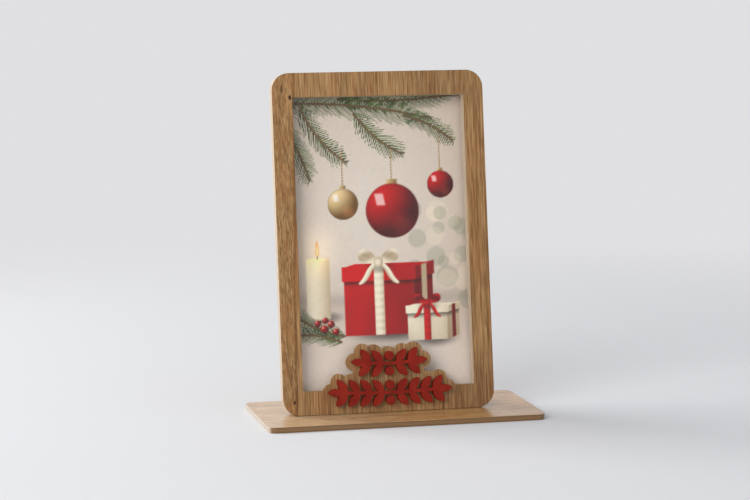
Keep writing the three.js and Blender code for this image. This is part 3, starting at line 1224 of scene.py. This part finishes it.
@dataclass(frozen=True)
class Twig:
    """A fir twig: its two ends and its sag, with the length and pitch of its needles in millimetres.

    The slant is how far a needle runs along the twig for each millimetre that it leaves it. Needles
    shrink to a share of their length over the twig's last stretch, and each has a length of its own
    between the shortest and the longest share. A needle thins towards its tip, around a full core, and
    all ends are soft over about the given length.
    """

    root: tuple[float, float]
    tip: tuple[float, float]
    sag: float
    needle: float
    pitch: float
    seed: int
    tones: Tones = ((38, 54, 26), (118, 140, 74))
    tone_swing: float = 0.75
    tone_side: float = 0.2
    tone_drop: float = 0.15
    slant: float = 1.25
    scatter: float = 0.3
    shrink: float = 0.25
    shrink_run: float = 0.35
    shortest: float = 0.7
    longest: float = 1.1
    needle_half: float = 0.62
    thinning: float = 0.6
    core: float = 0.45
    soft: float = 0.5
    bark: Colour = (104, 78, 46)
    bark_span: Span = (0.75, 0.4)

    def paint(self, canvas: Canvas) -> None:
        """Paints the needles and then the twig.

        Along the twig is one coordinate and across it the other, less the sag's parabola.

        Args:
            canvas: The picture.
        """
        run = np.array(self.tip) - np.array(self.root)
        length = math.hypot(*run)
        ahead = run / length
        dx, dy = canvas.x - self.root[0], canvas.y - self.root[1]
        along = dx * ahead[0] + dy * ahead[1]
        across = dy * ahead[0] - dx * ahead[1] + self.sag * 4 * along * (length - along) / length**2
        self.paint_needles(canvas, along, across, length)
        ends = smooth(along, -self.soft, self.soft) * smooth(length - along, -self.soft, 2 * self.soft)
        canvas.lay(smooth(np.abs(across), *self.bark_span) * ends, self.bark)

    def paint_needles(self, canvas: Canvas, along: Array, across: Array, length: float) -> None:
        """Paints the needles on both sides.

        A needle leaves the twig at a slant, so every point belongs to the needle whose root lies at
        its along less its across times the slant. The distance from that needle's middle line makes
        the mark, which thins out and ends at the needle's tip. Each needle has a chance of its own,
        for its length, its tone and its place.

        Args:
            canvas: The picture.
            along: Each point's place along the twig.
            across: Each point's place beside it.
            length: The twig's length.
        """
        reach = np.abs(across)
        side = (across > 0).astype(int)
        root = along - reach * self.slant + 0.5 * self.pitch * side
        number = np.floor(root / self.pitch).astype(int)
        chance = np.random.default_rng(self.seed).random((2, NEEDLE_DRAWS))
        own = chance[side, number % NEEDLE_DRAWS]
        offset = np.abs(root / self.pitch - number - 0.5 + self.scatter * (own - 0.5)) * self.pitch
        left = smooth(length - root, -4 * self.soft, self.shrink_run * length)
        taper = self.shrink + (1 - self.shrink) * left
        share = self.shortest + (self.longest - self.shortest) * own
        tip = self.needle * taper * share / math.hypot(1, self.slant)
        width = self.needle_half * (1 - self.thinning * np.clip(reach / np.maximum(tip, 0.1), 0, 1))
        mark = smooth(offset, width, width * self.core) * smooth(reach, tip, tip - self.soft)
        mark = mark * (number >= 0) * (root < length) * smooth(along, -2 * self.soft, 2 * self.soft)
        canvas.tint(mark, self.tone_swing * own + self.tone_side * side - self.tone_drop, self.tones)


@dataclass(frozen=True)
class Bow:
    """A ribbon's bow: its knot's middle in millimetres, half the ribbon's width, and its tones.

    The sizes of its tails, loops and knot are in half widths of the ribbon. The tilt is the cosine and
    sine of the angle at which the loops rise, and the folds say how fast their tone turns along and
    across them. A hollow's middle and half length are in shares of its loop's length.
    """

    x: float
    y: float
    half: float
    tones: Tones
    edge_span: Span = (1.07, 0.95)
    tail_length: float = 4.4
    tail_half: float = 0.6
    tail_start: float = 0.4
    tail_run: float = 0.8
    tail_wave: float = 0.5
    tail_turning: float = 1.4
    tail_notch: float = 0.5
    tail_sheen: Sheen = Sheen(0.55, 0.45, turning=2.4, start=-0.6)
    loop_length: float = 4.4
    loop_half: float = 1.7
    loop_root: float = 0.4
    loop_tilt: tuple[float, float] = (0.9, 0.42)
    loop_folds: tuple[float, float] = (6.0, 1.3)
    loop_sheen: Sheen = Sheen(0.625, 0.325, turning=1.0, start=-0.6)
    hollow_middle: float = 0.64
    hollow_half: tuple[float, float] = (0.24, 0.6)
    hollow_span: Span = (1.1, 0.55)
    hollow_share: float = 0.8
    hollow_wash: Wash = Wash(0.25, -0.3)
    knot_half: tuple[float, float] = (0.95, 1.0)
    knot_span: Span = (1.07, 0.92)
    knot_wash: Wash = Wash(0.95, -0.2, -0.6)

    def paint(self, canvas: Canvas) -> None:
        """Paints the tail and the loop on each side, and the knot over them.

        The knot's tone falls to the right, and with the square of the distance from its middle.

        Args:
            canvas: The picture.
        """
        for turn in (-1, 1):
            out = turn * (canvas.x - self.x)
            self.paint_tail(canvas, out)
            self.paint_loop(canvas, out)
        knot = canvas.oval(self.x, self.y, self.knot_half[0] * self.half, self.knot_half[1] * self.half)
        tone = self.knot_wash.tone((canvas.x - self.x) / self.half, knot**2)
        canvas.tint(smooth(knot, *self.knot_span), tone, self.tones)

    def paint_tail(self, canvas: Canvas, out: Array) -> None:
        """Paints one tail: a strip that runs outwards as it falls, waving a little, with a notched end.

        Args:
            canvas: The picture.
            out: Each point's place outwards from the knot.
        """
        fall = self.y - canvas.y
        wave = self.tail_wave * np.sin(fall / self.half * self.tail_turning)
        beside = out - (self.tail_start * self.half + self.tail_run * fall + wave)
        half = self.tail_half * self.half
        end = self.y - self.tail_length * self.half + self.tail_notch * np.abs(beside)
        tail = band(beside, -half, half) * band(canvas.y, end, self.y)
        canvas.tint(tail, self.tail_sheen.tone(beside / self.half), self.tones)

    def paint_loop(self, canvas: Canvas, out: Array) -> None:
        """Paints one loop: an oval that widens away from the knot, around a darker hollow.

        Args:
            canvas: The picture.
            out: Each point's place outwards from the knot.
        """
        rise = canvas.y - self.y
        along = self.loop_tilt[0] * out + self.loop_tilt[1] * rise
        across = (self.loop_tilt[0] * rise - self.loop_tilt[1] * out) / self.half
        run = along / (self.loop_length * self.half)
        share = np.clip(run, 0, 1)
        widening = self.loop_half * (self.loop_root + (1 - self.loop_root) * share)
        loop = np.hypot(2 * run - 1, across / widening)
        fold = share * self.loop_folds[0] + across * self.loop_folds[1]
        canvas.tint(smooth(loop, *self.edge_span), self.loop_sheen.tone(fold), self.tones)
        hollow = np.hypot((run - self.hollow_middle) / self.hollow_half[0], across / self.hollow_half[1])
        mask = self.hollow_share * smooth(hollow, *self.hollow_span)
        canvas.tint(mask, self.hollow_wash.tone(across, share), self.tones)


@dataclass(frozen=True)
class Box:
    """A wrapped box: its front's sides in millimetres, its flank's width, and its tones.

    The rises say how far the flank's foot, its lid's lower edge and its head go up for each
    millimetre to the right. The lid is a share of the height, it overhangs and lifts a little, and it
    is lighter than what lies below. The flank's ribbon lies between two shares of the flank's width.
    """

    left: float
    right: float
    low: float
    high: float
    flank: float
    paper: Tones
    ribbon: Tones
    ribbon_half: float
    seed: int
    foot_rise: float = 0.34
    lid_rise: float = 0.25
    head_rise: float = 0.2
    lid_share: float = 0.2
    overhang: float = 1.0
    lid_lift: float = 0.6
    lid_gap: float = 0.7
    lid_gain: float = 0.1
    lid_shadow: Span = (3.2, 0.0)
    lid_dark: float = 0.5
    crease: tuple[float, float] = (6.0, 10.0)
    crease_swing: float = 0.2
    front_wash: Wash = Wash(0.86, -0.34, 0.14)
    flank_wash: Wash = Wash(0.1, 0.1, 0.22)
    top_wash: Wash = Wash(1.05, -0.2)
    flank_ribbon: Span = (0.42, 0.7)
    flank_ribbon_tone: float = 0.3
    ribbon_sheen: Sheen = Sheen(0.66, 0.34, turning=1.5, start=0.5)
    ribbon_ribs: Sheen = Sheen(0.0, 0.1, turning=1.7)
    ribbon_lift: float = 0.9

    @property
    def middle(self) -> float:
        """The front's middle, where the ribbon runs."""
        return (self.left + self.right) / 2

    def paint(self, canvas: Canvas) -> None:
        """Paints the box's shadow, its body, its lid, its ribbon and its bow, with the bow's shadow.

        Args:
            canvas: The picture.
        """
        width = self.right - self.left
        half = self.ribbon_half
        canvas.shadow(self.middle + 0.16 * width, self.low + 1, (0.78 * width, 6.0), dark=0.55, core=0.1)
        self.paint_paper(canvas)
        self.paint_ribbon(canvas)
        canvas.shadow(self.middle + 1, self.high, (4 * half, 1.6 * half), dark=0.3, core=0.2)
        Bow(self.middle, self.high + half, half, self.ribbon).paint(canvas)

    def paint_paper(self, canvas: Canvas) -> None:
        """Paints flank, front and lid.

        The front is a rectangle, darker to the right. The flank is a strip beside it whose ends rise
        to the right, and the top a narrow strip above it whose ends lean to the right. The lid
        repeats the upper part of front and flank a little larger, over a soft shadow.

        Args:
            canvas: The picture.
        """
        x, y = canvas.x, canvas.y
        away = x - self.right
        across = (x - self.left) / (self.right - self.left)
        up = (y - self.low) / (self.high - self.low)
        head = self.high + self.head_rise * away
        lid_low = self.high - self.lid_share * (self.high - self.low)
        lid_left, lid_right = self.left - self.overhang, self.right + self.overhang
        flank_end = self.right + self.flank
        creases = lattice_noise(x / self.crease[0], y / self.crease[1], self.seed) - 0.5
        front_tone = self.front_wash.tone(across, up) + self.crease_swing * creases
        flank_tone = self.flank_wash.tone(away / self.flank, up) + self.crease_swing / 2 * creases
        side = band(x, self.right, flank_end) * band(y, self.low + self.foot_rise * away, head)
        canvas.tint(side, flank_tone, self.paper)
        front = band(x, self.left, self.right) * band(y, self.low, self.high)
        canvas.tint(front, front_tone, self.paper)
        below = lid_low + self.lid_rise * away.clip(0) - y
        under = band(x, self.left, flank_end) * smooth(below, *self.lid_shadow) * (below > 0)
        canvas.shade(self.lid_dark * under * np.maximum(front, side))
        lid_side = band(x, self.right + self.lid_gap, flank_end + self.overhang)
        lid_side = lid_side * band(y, lid_low + self.lid_rise * away, head + self.lid_lift)
        canvas.tint(lid_side, flank_tone + 0.8 * self.lid_gain, self.paper)
        lean = (y - self.high) / self.head_rise
        top = band(x, lid_left + 0.7 * lean, lid_right + lean)
        top = top * band(y, self.high, self.high + self.head_rise * self.flank)
        canvas.tint(top, self.top_wash.tone(across, up), self.paper)
        lid = band(x, lid_left, lid_right) * band(y, lid_low, self.high + self.lid_lift)
        canvas.tint(lid, front_tone + self.lid_gain, self.paper)

    def paint_ribbon(self, canvas: Canvas) -> None:
        """Paints the bands on flank and front: the front's has a sheen across it and fine ribs along it.

        Args:
            canvas: The picture.
        """
        x, y = canvas.x, canvas.y
        away = x - self.right
        foot, head = self.low + self.foot_rise * away, self.high + self.head_rise * away
        begin, end = (self.right + share * self.flank for share in self.flank_ribbon)
        on_flank = band(x, begin, end) * band(y, foot, head)
        canvas.tint(on_flank, np.full_like(x, self.flank_ribbon_tone), self.ribbon)
        strip = band(x, self.middle - self.ribbon_half, self.middle + self.ribbon_half)
        strip = strip * band(y, self.low, self.high + self.ribbon_lift)
        sheen = self.ribbon_sheen.tone((x - self.middle) / self.ribbon_half)
        canvas.tint(strip, sheen + self.ribbon_ribs.tone(y), self.ribbon)


@dataclass(frozen=True)
class Candle:
    """A lit pillar candle: its middle, radius, foot and top in millimetres, and its tones.

    How far its foot and head bulge, and the sizes of wick, flame and glow, are in millimetres too. The
    melted pool is in shares of the radius and of the bulge. What the warmth takes from the wax, and
    the light of the glow, are light values from 0 to 1.
    """

    x: float
    radius: float
    low: float
    high: float
    tones: Tones
    foot_bulge: float = 1.4
    head_bulge: float = 0.9
    wax_sheen: Sheen = Sheen(0.5, 0.42, turning=1.3, start=0.7)
    warm_reach: float = 9.0
    warm_gain: float = 0.25
    warm_loss: Colour = (0.0, 0.05, 0.16)
    melt: Colour = (250, 222, 168)
    melt_half: tuple[float, float] = (0.86, 0.75)
    melt_span: Span = (1.05, 0.9)
    melt_share: float = 0.85
    wick: Colour = (60, 40, 26)
    wick_half: float = 0.3
    wick_height: float = 2.6
    flame: Colour = (255, 168, 48)
    flame_lift: float = 1.4
    flame_height: float = 8.0
    flame_full: float = 2.48
    flame_soft: float = 0.35
    heart: Colour = (255, 244, 196)
    heart_span: Span = (0.04, 0.72)
    glow: Colour = (1.0, 0.76, 0.42)
    glow_lift: float = 5.0
    glow_half: tuple[float, float] = (9.0, 11.0)
    glow_share: float = 0.14

    def paint(self, canvas: Canvas) -> None:
        """Paints the candle's shadow, the wax with its melted pool, the wick and the flame.

        The wax is a cylinder: its tone follows a cosine across it, and warms towards the flame.

        Args:
            canvas: The picture.
        """
        x, y = canvas.x, canvas.y
        across = (x - self.x) / self.radius
        canvas.shadow(self.x + 0.5 * self.radius, self.low, (2 * self.radius, 4.0), dark=0.4, core=0.2)
        bulge = np.sqrt(np.clip(1 - across**2, 0, 1))
        wax = band(np.abs(across), -1.0, 1.0, 0.06)
        wax = wax * band(y, self.low - self.foot_bulge * bulge, self.high + self.head_bulge * bulge)
        warm = np.exp(-((self.high - y) / self.warm_reach).clip(0))
        tone = two_tone(self.wax_sheen.tone(across) + self.warm_gain * warm, self.tones)
        canvas.lay(wax, tone * (1 - warm[..., None] * np.array(self.warm_loss)))
        half_width, half_height = self.melt_half[0] * self.radius, self.melt_half[1] * bulge + 0.05
        melted = canvas.oval(self.x, self.high, half_width, half_height)
        canvas.lay(self.melt_share * smooth(melted, *self.melt_span), self.melt)
        wick = band(x, self.x - self.wick_half, self.x + self.wick_half, 0.2)
        canvas.lay(wick * band(y, self.high, self.high + self.wick_height), self.wick)
        self.paint_flame(canvas)

    def paint_flame(self, canvas: Canvas) -> None:
        """Paints the glow, the flame and its bright heart.

        Half the flame's width follows the square root of the height in it times what is left above.
        The glow adds light that falls off as a bell around the flame.

        Args:
            canvas: The picture.
        """
        aside = np.abs(canvas.x - self.x)
        rise = (canvas.y - self.high - self.flame_lift) / self.flame_height
        share = np.clip(rise, 0, 1)
        belly = self.flame_full * np.sqrt(share) * (1 - share)
        bell = np.exp(-canvas.oval(self.x, self.high + self.glow_lift, *self.glow_half) ** 2)
        canvas.shine(self.glow_share * bell, self.glow)
        flame = smooth(aside, belly + self.flame_soft, belly * 0.4) * band(rise, 0.0, 1.0, 0.05)
        canvas.lay(flame, self.flame)
        heart = smooth(aside, 0.75 * belly + 0.01, 0.2 * belly) * band(rise, *self.heart_span, 0.08)
        canvas.lay(heart, self.heart)


# The picture's tones
REDS = ((66, 2, 4), (206, 18, 16))
CREAMS = ((158, 132, 100), (246, 234, 208))
GOLDS = ((104, 70, 30), (242, 212, 156))

# What the picture shows, from back to front: a bough, a candle, two boxes, a sprig with berries, balls
PICTURE_ITEMS = (
    Twig((-20, 150), (44, 152), sag=2.0, needle=10.0, pitch=1.25, seed=6),
    Twig((-52, 148), (30, 139), sag=-3.0, needle=12.0, pitch=1.25, seed=1),
    Twig((-52, 140), (-36, 108), sag=-2.0, needle=10.0, pitch=1.2, seed=3),
    Twig((-40, 147), (-16, 117), sag=3.0, needle=10.0, pitch=1.2, seed=2),
    Twig((14, 141), (41, 127), sag=-2.0, needle=9.0, pitch=1.15, seed=5),
    Twig((-12, 143), (14, 121), sag=2.5, needle=9.5, pitch=1.2, seed=4),
    Candle(-33.5, radius=6.2, low=38, high=68, tones=CREAMS),
    Box(-20, 17, 28, 63, 10.0, REDS, CREAMS, ribbon_half=2.6, seed=11),
    Box(13, 34, 24.5, 42, 6.5, CREAMS, REDS, ribbon_half=1.8, seed=12),
    Twig((-20, 28), (-47, 41), sag=-2.5, needle=8.5, pitch=1.15, seed=7),
    Twig((-22, 25), (-50, 29), sag=2.0, needle=8.0, pitch=1.15, seed=8),
    Ball(-31, 32, 2.1, REDS, cord_top=32),
    Ball(-27.5, 34.5, 1.9, REDS, cord_top=34.5),
    Ball(-34.5, 35, 1.8, REDS, cord_top=35),
    Ball(-30.5, 36.5, 1.7, REDS, cord_top=36.5),
    Ball(-25, 30.5, 1.8, REDS, cord_top=30.5),
    Ball(-19, 96, 8.0, GOLDS, cord_top=124.0),
    Ball(33, 105, 7.0, REDS, cord_top=130.0),
    Ball(7, 92, 14.0, REDS, cord_top=124.0),
)


@dataclass(frozen=True)
class WinterStillLife:
    """The printed picture: a quiet winter still life of fir twigs, glass balls and wrapped boxes.

    Its places are in millimetres from the middle of the sheet's foot. The soft spots of light lie in
    the given field: its left and right, its foot and head, and the least and greatest radius.
    """

    items: tuple[Twig | Candle | Box | Ball, ...] = PICTURE_ITEMS
    wall: Tones = ((200, 182, 165), (224, 210, 195))
    wall_middle: tuple[float, float] = (-6.0, 88.0)
    wall_half: tuple[float, float] = (52.0, 66.0)
    table: float = 47.0
    table_soft: float = 2.5
    table_near: float = 8.0
    cloth: Tones = ((200, 182, 166), (228, 212, 198))
    cloth_least: float = 0.2
    fold_half: float = 3.5
    fold_dark: float = 0.1
    spot_tones: Tones = ((118, 126, 98), (250, 234, 198))
    spot_count: int = 22
    spot_field: tuple[Span, Span, Span] = ((16, 50), (44, 92), (2.5, 7.0))
    spot_seed: int = 5
    spot_share: float = 0.24
    spot_core: float = 0.8
    dark_spots: float = 0.6
    tooth: float = 0.9
    tooth_seed: int = 21
    tooth_swing: float = 0.03

    def paint_room(self, canvas: Canvas) -> None:
        """Paints a pale wall and table that are out of focus, with soft spots of light.

        The wall is lightest at its middle, and falls off from there as a bell. The table is lighter
        towards its near end, and a soft dark fold lies where it meets the wall.

        Args:
            canvas: The picture.
        """
        glow = np.exp(-canvas.oval(*self.wall_middle, *self.wall_half) ** 2)
        canvas.tint(np.ones_like(glow), glow, self.wall)
        table = smooth(canvas.y, self.table + self.table_soft, self.table - self.table_soft)
        near = self.cloth_least + (1 - self.cloth_least) * smooth(canvas.y, self.table, self.table_near)
        canvas.tint(table, near, self.cloth)
        canvas.shade(self.fold_dark * np.exp(-(((canvas.y - self.table) / self.fold_half) ** 2)))
        spots = np.random.default_rng(self.spot_seed)
        for _ in range(self.spot_count):
            x, y, radius = (spots.uniform(*limits) for limits in self.spot_field)
            disc = smooth(canvas.oval(x, y, radius, radius), 1.0, self.spot_core)
            tone = self.spot_tones[0 if spots.random() < self.dark_spots else 1]
            canvas.lay(self.spot_share * disc, tone)

    def colours(self, x: Array, y: Array) -> Array:
        """Paints the whole picture: the room, each item over those behind it, and the paper's tooth.

        Args:
            x: Each point's place across, in millimetres from the sheet's middle.
            y: Each point's place up, in millimetres from the sheet's foot.

        Returns:
            Linear light values, with a last axis of three.
        """
        canvas = Canvas(x, y)
        self.paint_room(canvas)
        for item in self.items:
            item.paint(canvas)
        grit = lattice_noise(x / self.tooth, y / self.tooth, self.tooth_seed)
        canvas.shade(self.tooth_swing * (0.5 - grit))
        return screen_to_light(np.clip(canvas.ink, 0, 1))


@dataclass
class PrintPocket:
    """What the pocket holds: the clear cover, the print behind it, and the card behind that."""

    plane: LeaningPlane
    cell: float = 0.00045
    ease: float = 0.00015
    bare_paper: Colour = (226, 222, 214)
    picture: WinterStillLife = field(default_factory=WinterStillLife)

    def build_print(self) -> bpy.types.Object:
        """Builds the print as a thin closed sheet that carries its picture.

        The front is a flat grid of across and rise. The same grid's border, moved back by the paper's
        thickness, is the back's border: one face fills it, and a rim of faces joins the two borders.

        Returns:
            The print's object.
        """
        low, high = self.plane.extent("photo_print")
        columns = int(round((high[0] - low[0]) / self.cell)) + 1
        rows = int(round((high[2] - low[2]) / self.cell)) + 1
        across = np.tile(np.linspace(low[0], high[0], columns), rows)
        rise = np.repeat(np.linspace(low[2], high[2], rows), columns)
        number = np.arange(rows * columns).reshape(rows, columns)
        border = np.concatenate((number[0, :-1], number[:-1, -1], number[-1, :0:-1], number[:0:-1, 0]))
        front = self.plane.place(across, np.full(across.size, low[1]), rise)
        back = self.plane.place(across[border], np.full(border.size, high[1]), rise[border])
        behind = number.size + np.arange(border.size)
        rim = np.stack((border, behind, np.roll(behind, -1), np.roll(border, -1)), axis=-1)
        faces = grid_faces(number) + rim.tolist() + [behind[::-1].tolist()]
        piece = new_piece("printed_sheet", np.concatenate((front, back)), faces)
        self.ink_print(piece, across, rise - low[2])
        return piece

    def ink_print(self, piece: bpy.types.Object, across: Array, rise: Array) -> None:
        """Writes the picture on the print's front and bare paper on its back.

        Args:
            piece: The print, whose front's points come first.
            across: The front points' places across.
            rise: The front points' places up from the sheet's foot.
        """
        ink = np.ones((len(piece.data.vertices), 4), np.float32)
        ink[: across.size, :3] = self.picture.colours(across * 1000, rise * 1000)
        ink[across.size :, :3] = linear(self.bare_paper)[:3]
        layer = piece.data.attributes.new(PRINTED_PAPER.attribute, "FLOAT_COLOR", "POINT")
        layer.data.foreach_set("color", ink.ravel())
        log.info("%s: %d points on the front, %d in all", piece.name, across.size, len(ink))

    def build(self) -> None:
        """Builds the print, and dresses the cover and the card."""
        sheet = self.build_print()
        sheet.data.materials.append(PRINTED_PAPER.material())
        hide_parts("photo_print")
        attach(sheet, "print")
        dress("clear_cover", CLEAR_COVER.material(), self.ease)
        dress("backing_card", GREY_CARD.material(), self.ease / 2)


@dataclass(frozen=True)
class Softbox:
    """A large soft lamp: where it hangs, what it points at, its size, its strength and its colour."""

    name: str
    place: tuple[float, float, float]
    target: tuple[float, float, float]
    size: float
    watts: float
    colour: Colour = (255, 255, 255)

    def hang(self) -> None:
        """Hangs the lamp."""
        lamp = bpy.data.lights.new(self.name, "AREA")
        lamp.shape = "SQUARE"
        lamp.size = self.size
        lamp.energy = self.watts
        lamp.color = linear(self.colour)[:3]
        hung = bpy.data.objects.new(self.name, lamp)
        hung.location = self.place
        aim = Vector(self.target) - Vector(self.place)
        hung.rotation_euler = aim.to_track_quat("-Z", "Y").to_euler()
        bpy.context.scene.collection.objects.link(hung)


@dataclass
class Studio:
    """A plain pale floor that sweeps up into a backdrop, soft lamps, and the camera.

    The spans say where the floor's paint turns into the even backdrop: by the distance to the back,
    and by the distance from the frame. The camera's angles are in degrees, and its focal length is
    in pixels of the photograph.
    """

    half_width: float = 3.0
    front: float = -3.0
    bend: float = 1.4
    bend_radius: float = 0.6
    bend_points: int = 17
    top: float = 2.6
    floor: Colour = (209, 209, 210)
    floor_roughness: float = 0.9
    cloud: tuple[float, float, float, float] = (0.7, 0.7, 0.7, 1.0)
    cloud_lumps: float = 3.0
    cloud_share: float = 0.04
    backdrop: Colour = (224, 224, 226)
    behind_span: Span = (0.1, 1.2)
    far_span: Span = (0.3, 0.8)
    room: Colour = (244, 247, 252)
    room_strength: float = 0.6
    camera_place: tuple[float, float, float] = (-0.2884, -1.23107, 0.24444)
    yaw: float = 12.777
    pitch: float = 7.166
    roll: float = 0.414
    focal_pixels: float = 2484.8
    image_width: int = 750
    sensor: float = 36.0
    lamps: tuple[Softbox, ...] = (
        Softbox("window_light", (-1.3, 0.75, 1.0), (0.0, 0.0, 0.06), size=1.2, watts=26.0),
        Softbox("front_fill", (-1.5, -1.5, 1.1), (0.0, 0.0, 0.08), size=1.5, watts=31.0),
    )

    def seen(self, graph: Graph) -> Socket:
        """Adds the nodes that tell what is looked at, mirrored or seen through from what gives light.

        Args:
            graph: The graph of the floor or of the room.

        Returns:
            The socket of a mask, 1 where it is seen.
        """
        rays = graph.add("ShaderNodeLightPath").outputs
        through = graph.math("MAXIMUM", rays["Is Glossy Ray"], rays["Is Transmission Ray"])
        return graph.math("MAXIMUM", rays["Is Camera Ray"], through)

    def build_sweep(self) -> None:
        """Builds the floor and backdrop as one sheet.

        Its profile runs back along the floor, round a quarter circle and up the wall, and is carried
        straight across from one side to the other.
        """
        turn = np.linspace(0, math.pi / 2, self.bend_points)
        wall = self.bend + self.bend_radius
        y = np.concatenate(([self.front], self.bend + self.bend_radius * np.sin(turn), [wall]))
        z = np.concatenate(([0.0], self.bend_radius * (1 - np.cos(turn)), [self.top]))
        x = np.linspace(-self.half_width, self.half_width, 3)
        points = np.stack((np.tile(x, len(y)), np.repeat(y, len(x)), np.repeat(z, len(x))), axis=-1)
        faces = grid_faces(np.arange(len(points)).reshape(len(y), len(x)))
        sweep = new_piece("studio_sweep", points, faces)
        sweep.data.polygons.foreach_set("use_smooth", np.ones(len(faces), bool))
        sweep.data.materials.append(self.paint())

    def paint(self) -> bpy.types.Material:
        """Makes the sweep's paint: away from the frame it turns into an even backdrop.

        Returns:
            The material.
        """
        material, graph, shader = new_material("studio_paint")
        place = graph.place()
        aside, behind, _ = graph.split(place)
        square = graph.math("MULTIPLY_ADD", aside, aside, graph.math("MULTIPLY", behind, behind))
        far = graph.step(graph.math("SQRT", square), *self.far_span)
        away = graph.math("MAXIMUM", graph.step(behind, *self.behind_span), far)
        shade = graph.step(graph.noise(place, self.cloud_lumps), *WIDE_SPAN, 0.0, self.cloud_share)
        colour = graph.mix(shade, linear(self.floor), self.cloud)
        graph.feed(shader, {"Base Color": colour, "Roughness": self.floor_roughness})
        even = graph.add("ShaderNodeEmission", {"Color": linear(self.backdrop)})
        mask = graph.math("MULTIPLY", away, self.seen(graph))
        graph.blend(mask, shader.outputs[0], even.outputs[0], "Material Output")
        return material

    def build_light(self) -> None:
        """Sets the room's even light, with the backdrop's tone where it is seen, and hangs the lamps."""
        world = bpy.data.worlds.new("studio_room")
        world.use_nodes = True
        bpy.context.scene.world = world
        graph = Graph(world.node_tree)
        room = world.node_tree.nodes["Background"]
        graph.feed(room, {"Color": linear(self.room), "Strength": self.room_strength})
        even = graph.add("ShaderNodeBackground", {"Color": linear(self.backdrop)})
        graph.blend(self.seen(graph), room.outputs[0], even.outputs[0], "World Output")
        for lamp in self.lamps:
            lamp.hang()
        bpy.context.scene.view_settings.view_transform = "Standard"

    def build_camera(self) -> None:
        """Places the camera where the photograph was taken from."""
        camera = bpy.data.cameras.new("photograph_view")
        camera.sensor_fit = "HORIZONTAL"
        camera.sensor_width = self.sensor
        camera.lens = self.focal_pixels * self.sensor / self.image_width
        yaw, pitch, roll = (math.radians(angle) for angle in (self.yaw, self.pitch, self.roll))
        flat = math.cos(pitch)
        ahead = Vector((math.sin(yaw) * flat, math.cos(yaw) * flat, -math.sin(pitch)))
        level = Vector((math.cos(yaw), -math.sin(yaw), 0.0))
        down = ahead.cross(level)
        right = math.cos(roll) * level + math.sin(roll) * down
        down = -math.sin(roll) * level + math.cos(roll) * down
        turn = Matrix((right, -down, -ahead)).transposed()
        stand = bpy.data.objects.new("photograph_view", camera)
        stand.matrix_world = Matrix.Translation(self.camera_place) @ turn.to_4x4()
        bpy.context.scene.collection.objects.link(stand)
        bpy.context.scene.camera = stand

    def build(self) -> None:
        """Builds the floor, the light and the camera."""
        self.build_sweep()
        self.build_light()
        self.build_camera()


def main() -> None:
    """Builds the studio and dresses the photo frame, one sub-assembly after the other."""
    logging.basicConfig(level=logging.INFO, format="%(message)s")
    plane = LeaningPlane.of_packed_model()
    Studio().build()
    SlottedBase(plane.lean).build()
    LeaningFrame(plane).build()
    PrintPocket(plane).build()
    Badge().build()
    bpy.context.view_layer.update()


if __name__ == "__main__":
    main()
